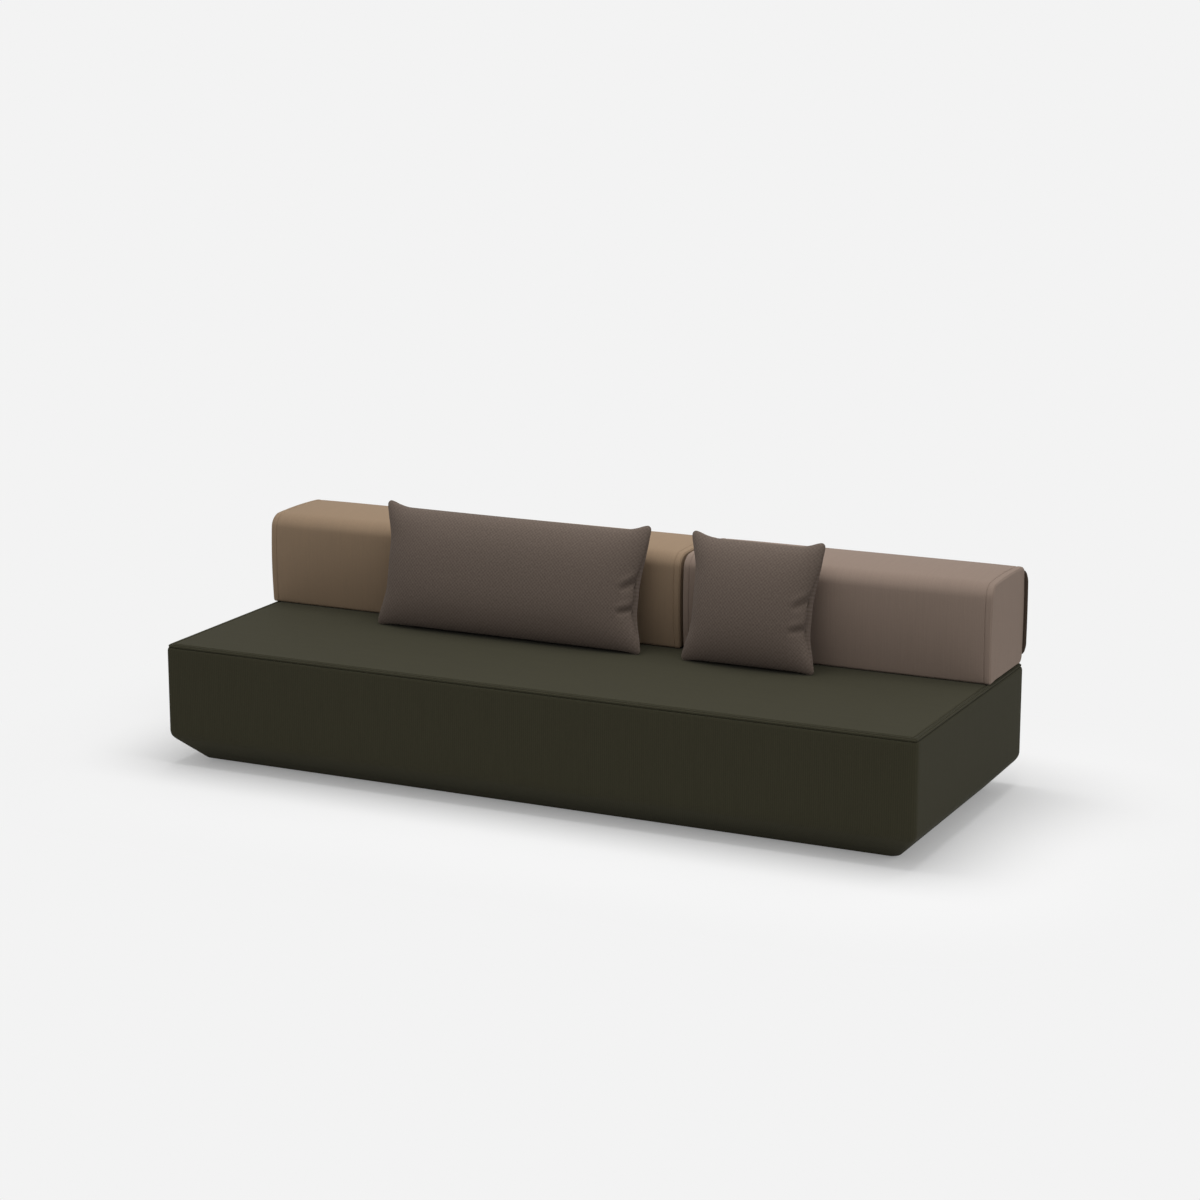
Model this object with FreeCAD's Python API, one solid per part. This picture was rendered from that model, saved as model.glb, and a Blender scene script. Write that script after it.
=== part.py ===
import FreeCAD, Part
import math
import os

# A sofa bed: a long upholstered slatted base with an undercut foot, two loose back
# bolsters that stand on its rear edge and two loose cushions that lean on them.
# Millimetres. Origin on the floor under the middle. Seen from the front, +X is to the
# right, +Y is to the back and +Z is up.

# Overall sizes
seat_width = 2400.0
seat_depth = 915.0
seat_height = 374.0
back_depth = 300.0
back_height = 298.0
left_back_width = 1425.0
back_joint_gap = 3.0

# Clearances
soft_gap = 0.3
hole_clearance = 0.1
zip_clearance = 0.35
least_round = 1.0

# Facets along each side and round each corner of the soft pieces
side_facets = 6
corner_facets = 5

# Outer form of the base
floor_gap = 10.0
undercut_rise = 79.0
undercut_run = 76.0
undercut_round = 25.0
corner_round = 16.0
edge_roll = 18.0
edge_draw = 5.0
shoulder_run = 100.0
shoulder_drop = 6.0

# Upholstery layers of the base
cover_thickness = 2.0
padding_thickness = 14.7
topper_thickness = 40.0
turn_under = 45.0
dust_cover_thickness = 1.0
dust_cover_margin = 12.0

# Timber frame of the base
deck_height = 190.0
rail_thickness = 18.0
skirt_thickness = 12.0
batten_thickness = 18.0
batten_width = 90.0
cross_rail_thickness = 18.0
cross_rail_count = 3
corner_block_side = 45.0
ledger_width = 25.0
ledger_height = 40.0

# Slats and their holders
slat_count = 18
slat_width = 70.0
slat_thickness = 8.0
slat_bow = 10.0
slat_end_margin = 46.0
holder_depth = 28.0
holder_wall = 4.0
holder_slot_depth = 22.0
peg_width = 24.0
peg_thickness = 8.0
peg_length = 15.0

# Glides under the base
glide_side = 46.0
glide_edge = 3.0
glide_inset = 110.0
tongue_side = 10.0
tongue_grip = 12.0

# Back bolsters
back_swell = 7.0
back_top_swell = 12.0
back_top_round = 36.0
back_bottom_round = 24.0
back_end_roll = 16.0
back_end_inset = 12.0
back_end_steps = 3
board_thickness = 15.0
board_margin = 42.0
grip_thickness = 3.0
grip_width = 28.0
grip_margin = 60.0
back_zip_height = 46.0
back_zip_margin = 90.0

# Loose cushions
cushion_height = 375.0
cushion_crown = 60.0
cushion_middle = 31.0
cushion_draw_in = 18.0
cushion_ear_round = 12.0
cushion_cap_round = 22.0
cushion_corner_ease = 45.0
cushion_steps = 6
cushion_step_bias = 1.5
cushion_fullness = 2.2
cushion_lean = 12.0
cushion_zip_height = 42.0
cushion_zip_margin = 110.0
welt_diameter = 5.0
welt_flats = 6
long_cushion_width = 875.0
long_cushion_x = -304.0
square_cushion_width = 400.0
square_cushion_x = 488.0

# Zips
tape_width = 24.0
tape_thickness = 1.0
tape_depth = 0.6
coil_width = 5.0
coil_height = 2.4
stop_length = 4.0
slider_length = 14.0
slider_nose = 4.0
slider_wall = 1.6

# Heights and insets that follow from the sizes above
top_seam_height = seat_height - shoulder_drop
layer_bottom = floor_gap + cover_thickness
padding_inset = cover_thickness + soft_gap
frame_inset = padding_inset + padding_thickness
rail_inner_inset = frame_inset + rail_thickness
skirt_inner_inset = frame_inset + skirt_thickness
topper_bottom = seat_height - padding_inset - topper_thickness
batten_top = layer_bottom + batten_thickness
undercut_slope = math.hypot(undercut_rise, undercut_run)
rail_bottom = floor_gap + undercut_rise + frame_inset * (undercut_slope - undercut_rise) / undercut_run
slat_end_height = deck_height - soft_gap - slat_thickness - slat_bow
back_bottom = seat_height + soft_gap + grip_thickness
back_front = seat_depth / 2 - back_depth
cushion_shoulder = (cushion_height - cushion_middle) / 2 - cushion_cap_round


def vector(x, y, z):
    return FreeCAD.Vector(x, y, z)


def box(low, high):
    """An upright block between two opposite corners."""
    return Part.makeBox(high[0] - low[0], high[1] - low[1], high[2] - low[2], vector(*low))


def slab(low, high):
    """Everything between two heights, wider than the sofa bed."""
    reach = seat_width + seat_depth
    return box((-reach, -reach, low), (reach, reach, high))


def line(start, end):
    return Part.LineSegment(start, end).toShape()


def arc(start, middle, end):
    return Part.Arc(start, middle, end).toShape()


def solid_of(shape):
    """The one solid that a cut or a fuse leaves."""
    return shape.Solids[0] if len(shape.Solids) == 1 else shape


# Soft outlines: four corner arcs joined by sides that swell or are drawn in

def side_between(first, second, outward, bulge):
    """End points and middle of a side that touches two corner circles.

    Each corner is (u, v, radius). A bulge above 0 swells outward and one below 0 is drawn in.
    """
    (ua, va, ra), (ub, vb, rb) = first, second
    nu, nv = outward
    if bulge == 0:
        start = (ua + ra * nu, va + ra * nv)
        end = (ub + rb * nu, vb + rb * nv)
        return start, None, end
    eu, ev = -nv, nu
    ta, tb = ua * eu + va * ev, ub * eu + vb * ev
    tc = (ta + tb) / 2 + bulge * (rb - ra) / (tb - ta)
    radius = ra + (bulge ** 2 + (tc - ta) ** 2) / (2 * bulge)
    out = ua * nu + va * nv + ra + bulge - radius
    cu, cv = out * nu + tc * eu, out * nv + tc * ev

    def on_circle(du, dv):
        size = abs(radius) / math.hypot(du, dv)
        return (cu + size * du, cv + size * dv)

    start = on_circle(ua - cu, va - cv)
    end = on_circle(ub - cu, vb - cv)
    middle = on_circle((start[0] + end[0]) / 2 - cu, (start[1] + end[1]) / 2 - cv)
    return start, middle, end


def soft_outline(half_width, low, high, radii, bulges, place):
    """Closed wire with tangent corners. radii: bottom and top corners. bulges: sides, top, bottom."""
    bottom_radius, top_radius = radii
    side_bulge, top_bulge, bottom_bulge = bulges
    corners = [
        (half_width - bottom_radius, low + bottom_radius, bottom_radius),
        (half_width - top_radius, high - top_radius, top_radius),
        (top_radius - half_width, high - top_radius, top_radius),
        (bottom_radius - half_width, low + bottom_radius, bottom_radius),
    ]
    outwards = [(1, 0), (0, 1), (-1, 0), (0, -1)]
    swells = [side_bulge, top_bulge, side_bulge, bottom_bulge]
    sides = []
    for i in range(4):
        sides.append(side_between(corners[i], corners[(i + 1) % 4], outwards[i], swells[i]))
    edges = []
    for i in range(4):
        start, middle, end = sides[i]
        if middle is None:
            edges.append(line(place(*start), place(*end)))
        else:
            edges.append(arc(place(*start), place(*middle), place(*end)))
        cu, cv, radius = corners[(i + 1) % 4]
        after = sides[(i + 1) % 4][0]
        du = end[0] + after[0] - 2 * cu
        dv = end[1] + after[1] - 2 * cv
        size = math.hypot(du, dv)
        bend = (cu + radius * du / size, cv + radius * dv / size)
        edges.append(arc(place(*end), place(*bend), place(*after)))
    return Part.Wire(edges)


def facet_points(outline):
    """Points of a soft outline with its sides and its corners divided into facets."""
    points = []
    for i, edge in enumerate(outline.Edges):
        facets = corner_facets if i % 2 else side_facets
        if isinstance(edge.Curve, Part.Line):
            facets = 1
        points += edge.discretize(facets + 1)[:-1]
    return points


def ring_of(points):
    return Part.makePolygon(points + points[:1])


def faceted(sections, tube=False):
    """Solid through outlines whose facets have the same slants, so that each face is flat.

    In a tube the last outline joins the first, and otherwise both are closed by a flat end.
    """
    pairs = list(zip(sections, sections[1:]))
    if tube:
        pairs.append((sections[-1], sections[0]))
        faces = []
    else:
        faces = [Part.Face(ring_of(sections[0])), Part.Face(ring_of(sections[-1]))]
    for lower, upper in pairs:
        for i in range(len(lower)):
            j = i - 1
            faces.append(Part.Face(ring_of([lower[j], lower[i], upper[i], upper[j]])))
    shell = Part.makeShell(faces)
    shell.sewShape()
    solid = Part.makeSolid(shell)
    return solid if solid.Volume > 0 else solid.reversed()


# Outer form of the base

def half_profile(half, inset, bottom, flat_top, place):
    """One half of the base's section, from the middle of its underside to the middle of its top.

    The cover and the padding bend round the undercut, and the timber under them has a sharp corner.
    """
    side = half - inset
    lean = undercut_slope * inset
    turn = math.atan2(undercut_run, undercut_rise)
    corner_z = floor_gap + undercut_rise + inset * (undercut_slope - undercut_rise) / undercut_run
    foot = half - (lean + (floor_gap + undercut_rise - bottom) * undercut_run) / undercut_rise
    edges = [line(place(0, bottom), place(foot, bottom))]
    if inset < frame_inset:
        radius = max(undercut_round - inset, least_round)
        tangent = radius * math.tan(turn / 2)
        below = (side - tangent * math.sin(turn), corner_z - tangent * math.cos(turn))
        above = (side, corner_z + tangent)
        bend = (side - radius + radius * math.cos(turn / 2), above[1] - radius * math.sin(turn / 2))
        edges.append(line(place(foot, bottom), place(*below)))
        edges.append(arc(place(*below), place(*bend), place(*above)))
    else:
        above = (side, corner_z)
        edges.append(line(place(foot, bottom), place(*above)))
    if flat_top is not None:
        edges.append(line(place(*above), place(side, flat_top)))
        edges.append(line(place(side, flat_top), place(0, flat_top)))
        return edges
    top = seat_height - inset
    seam_z = top - shoulder_drop
    seam = side - edge_draw
    roll_radius = (edge_roll ** 2 + edge_draw ** 2) / (2 * edge_draw)
    roll_angle = math.asin(edge_roll / roll_radius) / 2
    roll_start = seam_z - edge_roll
    roll_middle = (
        side - roll_radius * (1 - math.cos(roll_angle)),
        roll_start + roll_radius * math.sin(roll_angle),
    )
    shoulder_radius = (shoulder_run ** 2 + shoulder_drop ** 2) / (2 * shoulder_drop)
    shoulder_angle = math.asin(shoulder_run / shoulder_radius) / 2
    shoulder_end = seam - shoulder_run
    shoulder_middle = (
        shoulder_end + shoulder_radius * math.sin(shoulder_angle),
        top - shoulder_radius * (1 - math.cos(shoulder_angle)),
    )
    edges.append(line(place(*above), place(side, roll_start)))
    edges.append(arc(place(side, roll_start), place(*roll_middle), place(seam, seam_z)))
    edges.append(arc(place(seam, seam_z), place(*shoulder_middle), place(shoulder_end, top)))
    edges.append(line(place(shoulder_end, top), place(0, top)))
    return edges


def base_prism(half, length, inset, bottom, flat_top, across):
    """The base's section drawn out along X (across False) or along Y (across True)."""
    def place(u, z):
        return vector(u, -length / 2, z) if across else vector(-length / 2, u, z)

    def mirrored(u, z):
        return place(-u, z)

    edges = half_profile(half, inset, bottom, flat_top, place)
    edges += reversed(half_profile(half, inset, bottom, flat_top, mirrored))
    face = Part.Face(Part.Wire(edges))
    return face.extrude(vector(0, length, 0) if across else vector(length, 0, 0))


def base_form(inset, bottom, flat_top=None):
    """The base's outer form with every face moved inward by inset, standing on a plane at bottom."""
    reach = 2 * corner_round
    along = base_prism(seat_depth / 2, seat_width + reach, inset, bottom, flat_top, False)
    across = base_prism(seat_width / 2, seat_depth + reach, inset, bottom, flat_top, True)
    form = along.common(across)
    radius = corner_round - inset
    if radius > least_round:
        half_x, half_y = seat_width / 2 - inset, seat_depth / 2 - inset

        def place(u, v):
            return vector(u, v, 0)

        plan = soft_outline(half_x, -half_y, half_y, (radius, radius), (0, 0, 0), place)
        form = form.common(Part.Face(plan).extrude(vector(0, 0, 2 * seat_height)))
    return solid_of(form)


def quarter(direction):
    """The part of the plan that belongs to one side, bounded by 45 degree mitres from the corners."""
    half_x, half_y = seat_width / 2, seat_depth / 2
    ridge = half_x - half_y
    plans = {
        "front": [(-half_x, -half_y), (half_x, -half_y), (ridge, 0), (-ridge, 0)],
        "rear": [(half_x, half_y), (-half_x, half_y), (-ridge, 0), (ridge, 0)],
        "left": [(-half_x, half_y), (-half_x, -half_y), (-ridge, 0)],
        "right": [(half_x, -half_y), (half_x, half_y), (ridge, 0)],
    }
    points = [vector(x, y, 0) for x, y in plans[direction]]
    plan = Part.Face(Part.makePolygon(points + points[:1]))
    return plan.extrude(vector(0, 0, 2 * seat_height))


SIDES = ("front", "rear", "left", "right")


def paired(name, ring):
    """A ring split at its mitred corners into the two long pieces and the two end pieces."""
    cut = {side: solid_of(ring.common(quarter(side))) for side in SIDES}
    return {
        f"long_{name}": Part.makeCompound([cut["front"], cut["rear"]]),
        f"end_{name}": Part.makeCompound([cut["left"], cut["right"]]),
    }


# Timber frame

def cross_positions():
    """X of each cross rail, evenly spaced between the end rails."""
    span = seat_width - 2 * rail_inner_inset
    step = span / (cross_rail_count + 1)
    return [step * (i + 1) - span / 2 for i in range(cross_rail_count)]


def rails():
    """The four upright rails; the end rails stand between the long ones."""
    half_x, half_y = seat_width / 2 - frame_inset, seat_depth / 2 - frame_inset
    inner_x, inner_y = half_x - rail_thickness, half_y - rail_thickness
    return {
        "front_rail": box((-half_x, -half_y, rail_bottom), (half_x, -inner_y, deck_height)),
        "rear_rail": box((-half_x, inner_y, rail_bottom), (half_x, half_y, deck_height)),
        "left_end_rail": box((-half_x, -inner_y, rail_bottom), (-inner_x, inner_y, deck_height)),
        "right_end_rail": box((inner_x, -inner_y, rail_bottom), (half_x, inner_y, deck_height)),
    }


def corner_blocks():
    """Blocks glued into the corners of the rails."""
    inner_x = seat_width / 2 - rail_inner_inset
    inner_y = seat_depth / 2 - rail_inner_inset
    blocks = []
    for sx in (-1, 1):
        for sy in (-1, 1):
            xs = sorted((sx * inner_x, sx * (inner_x - corner_block_side)))
            ys = sorted((sy * inner_y, sy * (inner_y - corner_block_side)))
            blocks.append(box((xs[0], ys[0], rail_bottom), (xs[1], ys[1], deck_height)))
    return Part.makeCompound(blocks)


def skirt_boards():
    """Slanting boards under the rails that make the undercut, mitred at the corners."""
    outer = base_form(frame_inset, layer_bottom, deck_height)
    inner = base_form(skirt_inner_inset, floor_gap - cover_thickness, deck_height + cover_thickness)
    ring = outer.cut(inner).common(slab(layer_bottom, rail_bottom))
    return paired("skirts", ring)


def floor_battens():
    """Flat battens round the foot of the base, bevelled to the skirts and bored for the glides."""
    outer = base_form(skirt_inner_inset, layer_bottom, deck_height)
    foot = undercut_run + undercut_slope * skirt_inner_inset / undercut_rise
    half_x = seat_width / 2 - foot - batten_width
    half_y = seat_depth / 2 - foot - batten_width
    inside = box((-half_x, -half_y, floor_gap), (half_x, half_y, deck_height))
    ring = outer.common(slab(layer_bottom, batten_top)).cut(inside)
    battens = paired("floor_battens", ring.cut(glide_tongues(hole_clearance)))
    cross = []
    for x in cross_positions():
        low = (x - batten_width / 2, -half_y, layer_bottom)
        high = (x + batten_width / 2, half_y, batten_top)
        cross.append(box(low, high))
    battens["cross_floor_battens"] = Part.makeCompound(cross)
    return battens


def ledger_top():
    return slat_end_height - soft_gap - holder_wall


def cross_rails():
    """Upright boards from front rail to rear rail that stiffen the long base."""
    inside = base_form(rail_inner_inset, layer_bottom, deck_height)
    boards = []
    for x in cross_positions():
        half = cross_rail_thickness / 2
        reach = seat_depth / 2
        bounds = box((x - half, -reach, batten_top), (x + half, reach, ledger_top() - ledger_height))
        boards.append(solid_of(inside.common(bounds)))
    return Part.makeCompound(boards)


# Slats

def slat_positions():
    span = seat_width - 2 * (rail_inner_inset + corner_block_side + slat_end_margin)
    return [span * i / (slat_count - 1) - span / 2 for i in range(slat_count)]


def slat_reach():
    """Half the length of a slat: it stops just short of the back wall of its holder's slot."""
    return holder_mouth() + holder_slot_depth - soft_gap


def holder_mouth():
    """Y of the inner face of the rear holders."""
    return seat_depth / 2 - rail_inner_inset - soft_gap - holder_depth


def peg_y():
    return seat_depth / 2 - rail_inner_inset - ledger_width / 2


def peg(x, y, clearance):
    """Flat tongue under a slat holder, or its mortise where clearance is above 0."""
    half_width = peg_width / 2 + clearance
    half_depth = peg_thickness / 2 + clearance
    low = (x - half_width, y - half_depth, ledger_top() - peg_length - clearance)
    return box(low, (x + half_width, y + half_depth, ledger_top()))


def slat_ledgers():
    """Battens along the front and rear rails that carry the slat holders in mortises."""
    half_x = seat_width / 2 - rail_inner_inset - corner_block_side
    inner_y = seat_depth / 2 - rail_inner_inset
    top = ledger_top()
    ledgers = []
    for sy in (-1, 1):
        ys = sorted((sy * inner_y, sy * (inner_y - ledger_width)))
        batten = box((-half_x, ys[0], top - ledger_height), (half_x, ys[1], top))
        holes = [peg(x, sy * peg_y(), hole_clearance) for x in slat_positions()]
        ledgers.append(solid_of(batten.cut(Part.makeCompound(holes))))
    return Part.makeCompound(ledgers)


def slat_end_rise():
    """How far the bowed slat climbs inside its holder's slot."""
    return slat_bow * (1 - ((slat_reach() - holder_slot_depth) / slat_reach()) ** 2)


def slat_holders():
    """Moulded caps with a slot for the slat's end and a tongue that drops into the ledger."""
    slot_low = slat_end_height - soft_gap
    slot_high = slat_end_height + slat_thickness + slat_end_rise() + soft_gap
    half = slat_width / 2 + soft_gap
    holders = []
    for x in slat_positions():
        for sy in (-1, 1):
            mouth = sy * holder_mouth()
            back = sy * (holder_mouth() + holder_depth)
            slot_end = sy * (holder_mouth() + holder_slot_depth)
            ys = sorted((mouth, back))
            slot_ys = sorted((mouth - sy * holder_wall, slot_end))
            body = box(
                (x - half - holder_wall, ys[0], slot_low - holder_wall),
                (x + half + holder_wall, ys[1], slot_high + holder_wall),
            )
            slot = box((x - half, slot_ys[0], slot_low), (x + half, slot_ys[1], slot_high))
            cap = body.cut(slot).fuse(peg(x, sy * peg_y(), 0.0))
            holders.append(solid_of(cap.removeSplitter()))
    return Part.makeCompound(holders)


def bed_slats():
    """Sprung slats, bowed up in the middle."""
    reach = slat_reach()
    slats = []
    for x in slat_positions():
        left = x - slat_width / 2
        low, high = slat_end_height, slat_end_height + slat_thickness
        under = arc(
            vector(left, -reach, low), vector(left, 0, low + slat_bow), vector(left, reach, low)
        )
        end = line(vector(left, reach, low), vector(left, reach, high))
        over = arc(
            vector(left, reach, high), vector(left, 0, high + slat_bow), vector(left, -reach, high)
        )
        start = line(vector(left, -reach, high), vector(left, -reach, low))
        section = Part.Face(Part.Wire([under, end, over, start]))
        slats.append(section.extrude(vector(slat_width, 0, 0)))
    return Part.makeCompound(slats)


# Glides

def glide_places():
    """Floor positions of the glides: the corners and both ends of the middle cross rail."""
    y = seat_depth / 2 - glide_inset - glide_side / 2
    corner_x = seat_width / 2 - glide_inset - glide_side / 2
    return [(x, sy * y) for x in (-corner_x, 0.0, corner_x) for sy in (-1, 1)]


def glide_height():
    return floor_gap - dust_cover_thickness


def glide_tongues(clearance=0.0):
    """Tongues on top of the glides, or their holes where clearance is above 0."""
    half = tongue_side / 2 + clearance
    low, high = glide_height() - clearance, layer_bottom + tongue_grip + clearance
    tongues = [box((x - half, y - half, low), (x + half, y + half, high)) for x, y in glide_places()]
    return Part.makeCompound(tongues)


def glides():
    """Moulded feet with a tongue that is pressed through the dust cover into the floor battens."""
    height = glide_height()
    half = glide_side / 2
    feet = []
    for (x, y), tongue in zip(glide_places(), glide_tongues().Solids):
        foot = box((x - half, y - half, 0), (x + half, y + half, height))
        foot = foot.makeChamfer(glide_edge, [e for e in foot.Edges if e.BoundBox.ZMax < height / 2])
        feet.append(solid_of(foot.fuse(tongue)))
    return Part.makeCompound(feet)


# Upholstery of the base

def seat_core():
    inside = base_form(frame_inset, layer_bottom, topper_bottom)
    return solid_of(inside.common(slab(deck_height, topper_bottom)))


def seat_topper():
    return solid_of(base_form(padding_inset, layer_bottom).common(slab(topper_bottom, seat_height)))


def side_paddings():
    """Foam sheets glued to the rails, the skirts and the edge of the core."""
    outer = base_form(padding_inset, floor_gap + padding_inset)
    inner = base_form(frame_inset, floor_gap - cover_thickness, seat_height)
    ring = outer.cut(inner).common(slab(floor_gap, topper_bottom))
    return {f"{side}_padding": solid_of(ring.common(quarter(side))) for side in SIDES}


def seat_covers():
    """Fabric panels: the top, sewn to a side band in four lengths that turns under the foot."""
    shell = base_form(0.0, floor_gap).cut(base_form(cover_thickness, layer_bottom))
    hole_x = seat_width / 2 - undercut_run - turn_under
    hole_y = seat_depth / 2 - undercut_run - turn_under
    opening = box((-hole_x, -hole_y, 0), (hole_x, hole_y, batten_top))
    covers = {"seat_top_panel": solid_of(shell.common(slab(top_seam_height, 2 * seat_height)))}
    band = shell.common(slab(0, top_seam_height)).cut(opening)
    for side in SIDES:
        covers[f"{side}_band_panel"] = solid_of(band.common(quarter(side)))
    return covers


def dust_cover():
    """Thin lining stapled under the base, pierced by the tongues of the glides."""
    half_x = seat_width / 2 - undercut_run - dust_cover_margin
    half_y = seat_depth / 2 - undercut_run - dust_cover_margin
    sheet = box((-half_x, -half_y, glide_height()), (half_x, half_y, floor_gap))
    return solid_of(sheet.cut(glide_tongues(hole_clearance)))


# Zips, drawn along X with the tape's face up

def zip_chain(length):
    """Two tapes with the closed coil between them and a stop at each end."""
    half = length / 2
    tapes = []
    for sy in (-1, 1):
        ys = sorted((0.0, sy * tape_width / 2))
        tapes.append(box((-half, ys[0], -tape_thickness), (half, ys[1], 0)))
    start = vector(-half, -coil_width / 2, 0)
    end = vector(-half, coil_width / 2, 0)
    profile = Part.Wire([arc(start, vector(-half, 0, coil_height), end), line(end, start)])
    coil = Part.Face(profile).extrude(vector(length, 0, 0))
    stop_half = coil_width / 2 + slider_wall
    stops = []
    for sx in (-1, 1):
        xs = sorted((sx * half, sx * (half - stop_length)))
        stop = box((xs[0], -stop_half, 0), (xs[1], stop_half, coil_height + slider_wall))
        stops.append(solid_of(stop.cut(coil)))
    return Part.makeCompound(tapes + [coil] + stops)


def zip_slider(length):
    """Slider without a pull, as on upholstery covers, parked beside the +X stop."""
    right = length / 2 - stop_length - zip_clearance
    left = right - slider_length
    groove = coil_width / 2 + zip_clearance
    half = groove + slider_wall
    low, roof = zip_clearance, coil_height + zip_clearance
    outline = [
        (left, -half),
        (right - slider_nose, -half),
        (right, -half / 2),
        (right, half / 2),
        (right - slider_nose, half),
        (left, half),
    ]
    points = [vector(x, y, low) for x, y in outline]
    plate = Part.Face(Part.makePolygon(points + points[:1]))
    block = plate.extrude(vector(0, 0, roof + slider_wall - low))
    channel = box((left - slider_nose, -groove, 0), (right + slider_nose, groove, roof))
    return solid_of(block.cut(channel))


def zip_slot(length):
    """The slit in the cover that the zip fills."""
    half = length / 2 + soft_gap
    width = tape_width / 2 + soft_gap
    depth = 2 * (cover_thickness + tape_depth)
    return box((-half, -width, -depth), (half, width, depth))


def zip_travel(length):
    return length - 2 * stop_length - 2 * zip_clearance - slider_length


def zip_seat(shape, inside, reach):
    """Placement of a zip along X on the back of a soft piece, with its tape tangent to the surface.

    The zip is level with a point inside the piece, and reach carries a line from there out of its back.
    """
    def surface(rise):
        start = inside + vector(0, 0, rise)
        within = line(start, start + vector(0, reach, 0)).common(shape)
        return max((v.Point for v in within.Vertexes), key=lambda p: p.y)

    low, high = surface(-tape_width / 4), surface(tape_width / 4)
    slope = math.degrees(math.atan2(high.z - low.z, high.y - low.y))
    turn = FreeCAD.Rotation(vector(1, 0, 0), slope + 180)
    return FreeCAD.Placement(surface(0.0) - turn.multVec(vector(0, 0, tape_depth)), turn)


# Back bolsters

def back_section(x, inset):
    """Points of a bolster's section: crowned front, top and back, flat underneath."""
    middle = seat_depth / 2 - back_depth / 2

    def place(u, z):
        return vector(x, middle + u, z)

    half = back_depth / 2 - back_swell - inset
    low = back_bottom + inset
    high = seat_height + back_height - back_top_swell - inset
    radii = (max(back_bottom_round - inset, least_round), max(back_top_round - inset, least_round))
    return facet_points(soft_outline(half, low, high, radii, (back_swell, back_top_swell, 0), place))


def back_end(x, direction, inset):
    """Rounded end of a bolster from its end seam to its outer face at x."""
    sections = []
    for i in range(back_end_steps + 1):
        angle = math.pi / 2 * i / back_end_steps
        along = (back_end_roll - inset) * (1 - math.cos(angle))
        drawn = back_end_inset * (1 - math.sin(angle))
        sections.append(back_section(x + direction * (inset + along), inset + drawn))
    return faceted(sections)


def back_middle(left, right, inset):
    """Straight stretch of a bolster between its end seams."""
    start, end = left + back_end_roll, right - back_end_roll
    return Part.Face(ring_of(back_section(start, inset))).extrude(vector(end - start, 0, 0))


def back_bolster(name, left, right):
    """All the pieces of one bolster, by node name."""
    core_inset = cover_thickness + soft_gap
    ends = {"left": (left, 1), "right": (right, -1)}
    core = back_middle(left, right, core_inset)
    pieces = {}
    for side, (x, direction) in ends.items():
        core = core.fuse(back_end(x, direction, core_inset))
        cap = back_end(x, direction, 0.0).cut(back_end(x, direction, cover_thickness))
        pieces[f"{name}_{side}_end_panel"] = solid_of(cap)
    near, far = back_front + board_margin, seat_depth / 2 - board_margin
    base = back_bottom + core_inset
    board = box((left + board_margin, near, base), (right - board_margin, far, base + board_thickness))
    pieces[f"{name}_board"] = board
    pocket = box(
        (left + board_margin - soft_gap, near - soft_gap, base - cover_thickness),
        (right - board_margin + soft_gap, far + soft_gap, base + board_thickness),
    )
    pieces[f"{name}_core"] = solid_of(core.removeSplitter().cut(pocket))
    grips = []
    for y in (near, far - grip_width):
        low = (left + grip_margin, y, back_bottom - grip_thickness)
        high = (right - grip_margin, y + grip_width, back_bottom)
        grips.append(box(low, high))
    pieces[f"{name}_grip_strips"] = Part.makeCompound(grips)
    sleeve = back_middle(left, right, 0.0).cut(back_middle(left, right, cover_thickness))
    length = right - left - 2 * back_zip_margin
    inside = vector((left + right) / 2, (near + far) / 2, back_bottom + back_zip_height)
    seat = zip_seat(back_middle(left, right, 0.0), inside, back_depth)
    pieces[f"{name}_sleeve"] = solid_of(sleeve.cut(placed(zip_slot(length), seat)))
    pieces[f"{name}_zip"] = placed(zip_chain(length), seat)
    pieces[f"{name}_zip_slider"] = placed(zip_slider(length), seat)
    print(name, "zip travel", round(zip_travel(length), 2))
    return pieces


def placed(shape, placement):
    moved = shape.copy()
    moved.Placement = placement.multiply(moved.Placement)
    return moved


# Loose cushions, drawn upright with the bottom seam at the origin and the back towards +Y

def cushion_outline(width, spread, inset, y):
    """Points of a cushion's outline where it has drawn in by spread, at depth y from the seam.

    The slack of each side goes with its length, so all the outlines have facets of the same slants.
    """
    share = spread / cushion_shoulder
    radius = cushion_ear_round + (cushion_cap_round - cushion_ear_round) * share - inset * (1 - share)
    radius += cushion_corner_ease * math.sin(math.pi * share)
    move = spread + inset

    def place(u, v):
        return vector(u, y, v)

    def slack(length):
        seam_reach = length / 2 - cushion_ear_round
        return cushion_draw_in * (length / 2 - move - radius) / seam_reach

    bulges = (-slack(cushion_height), -slack(width), 0)
    low, high = move, cushion_height - move
    return facet_points(soft_outline(width / 2 - move, low, high, (radius, radius), bulges, place))


def cushion_half(width, direction, inset):
    """Front (direction -1) or back (+1) half of a cushion, crowned from its seam to its middle."""
    sections = []
    for i in range(cushion_steps + 1):
        share = (i / cushion_steps) ** cushion_step_bias
        rise = (cushion_crown - inset) * (1 - (1 - share) ** cushion_fullness)
        sections.append(cushion_outline(width, cushion_shoulder * share, inset, direction * rise))
    return faceted(sections)


def cushion_welt(width):
    """Piping sewn into the seam all round."""
    radius = welt_diameter / 2
    sections = []
    for i in range(welt_flats):
        angle = 2 * math.pi * i / welt_flats
        outward = soft_gap / 2 + radius * (1 + math.cos(angle))
        sections.append(cushion_outline(width, 0.0, -outward, radius * math.sin(angle)))
    return faceted(sections, True)


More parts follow.
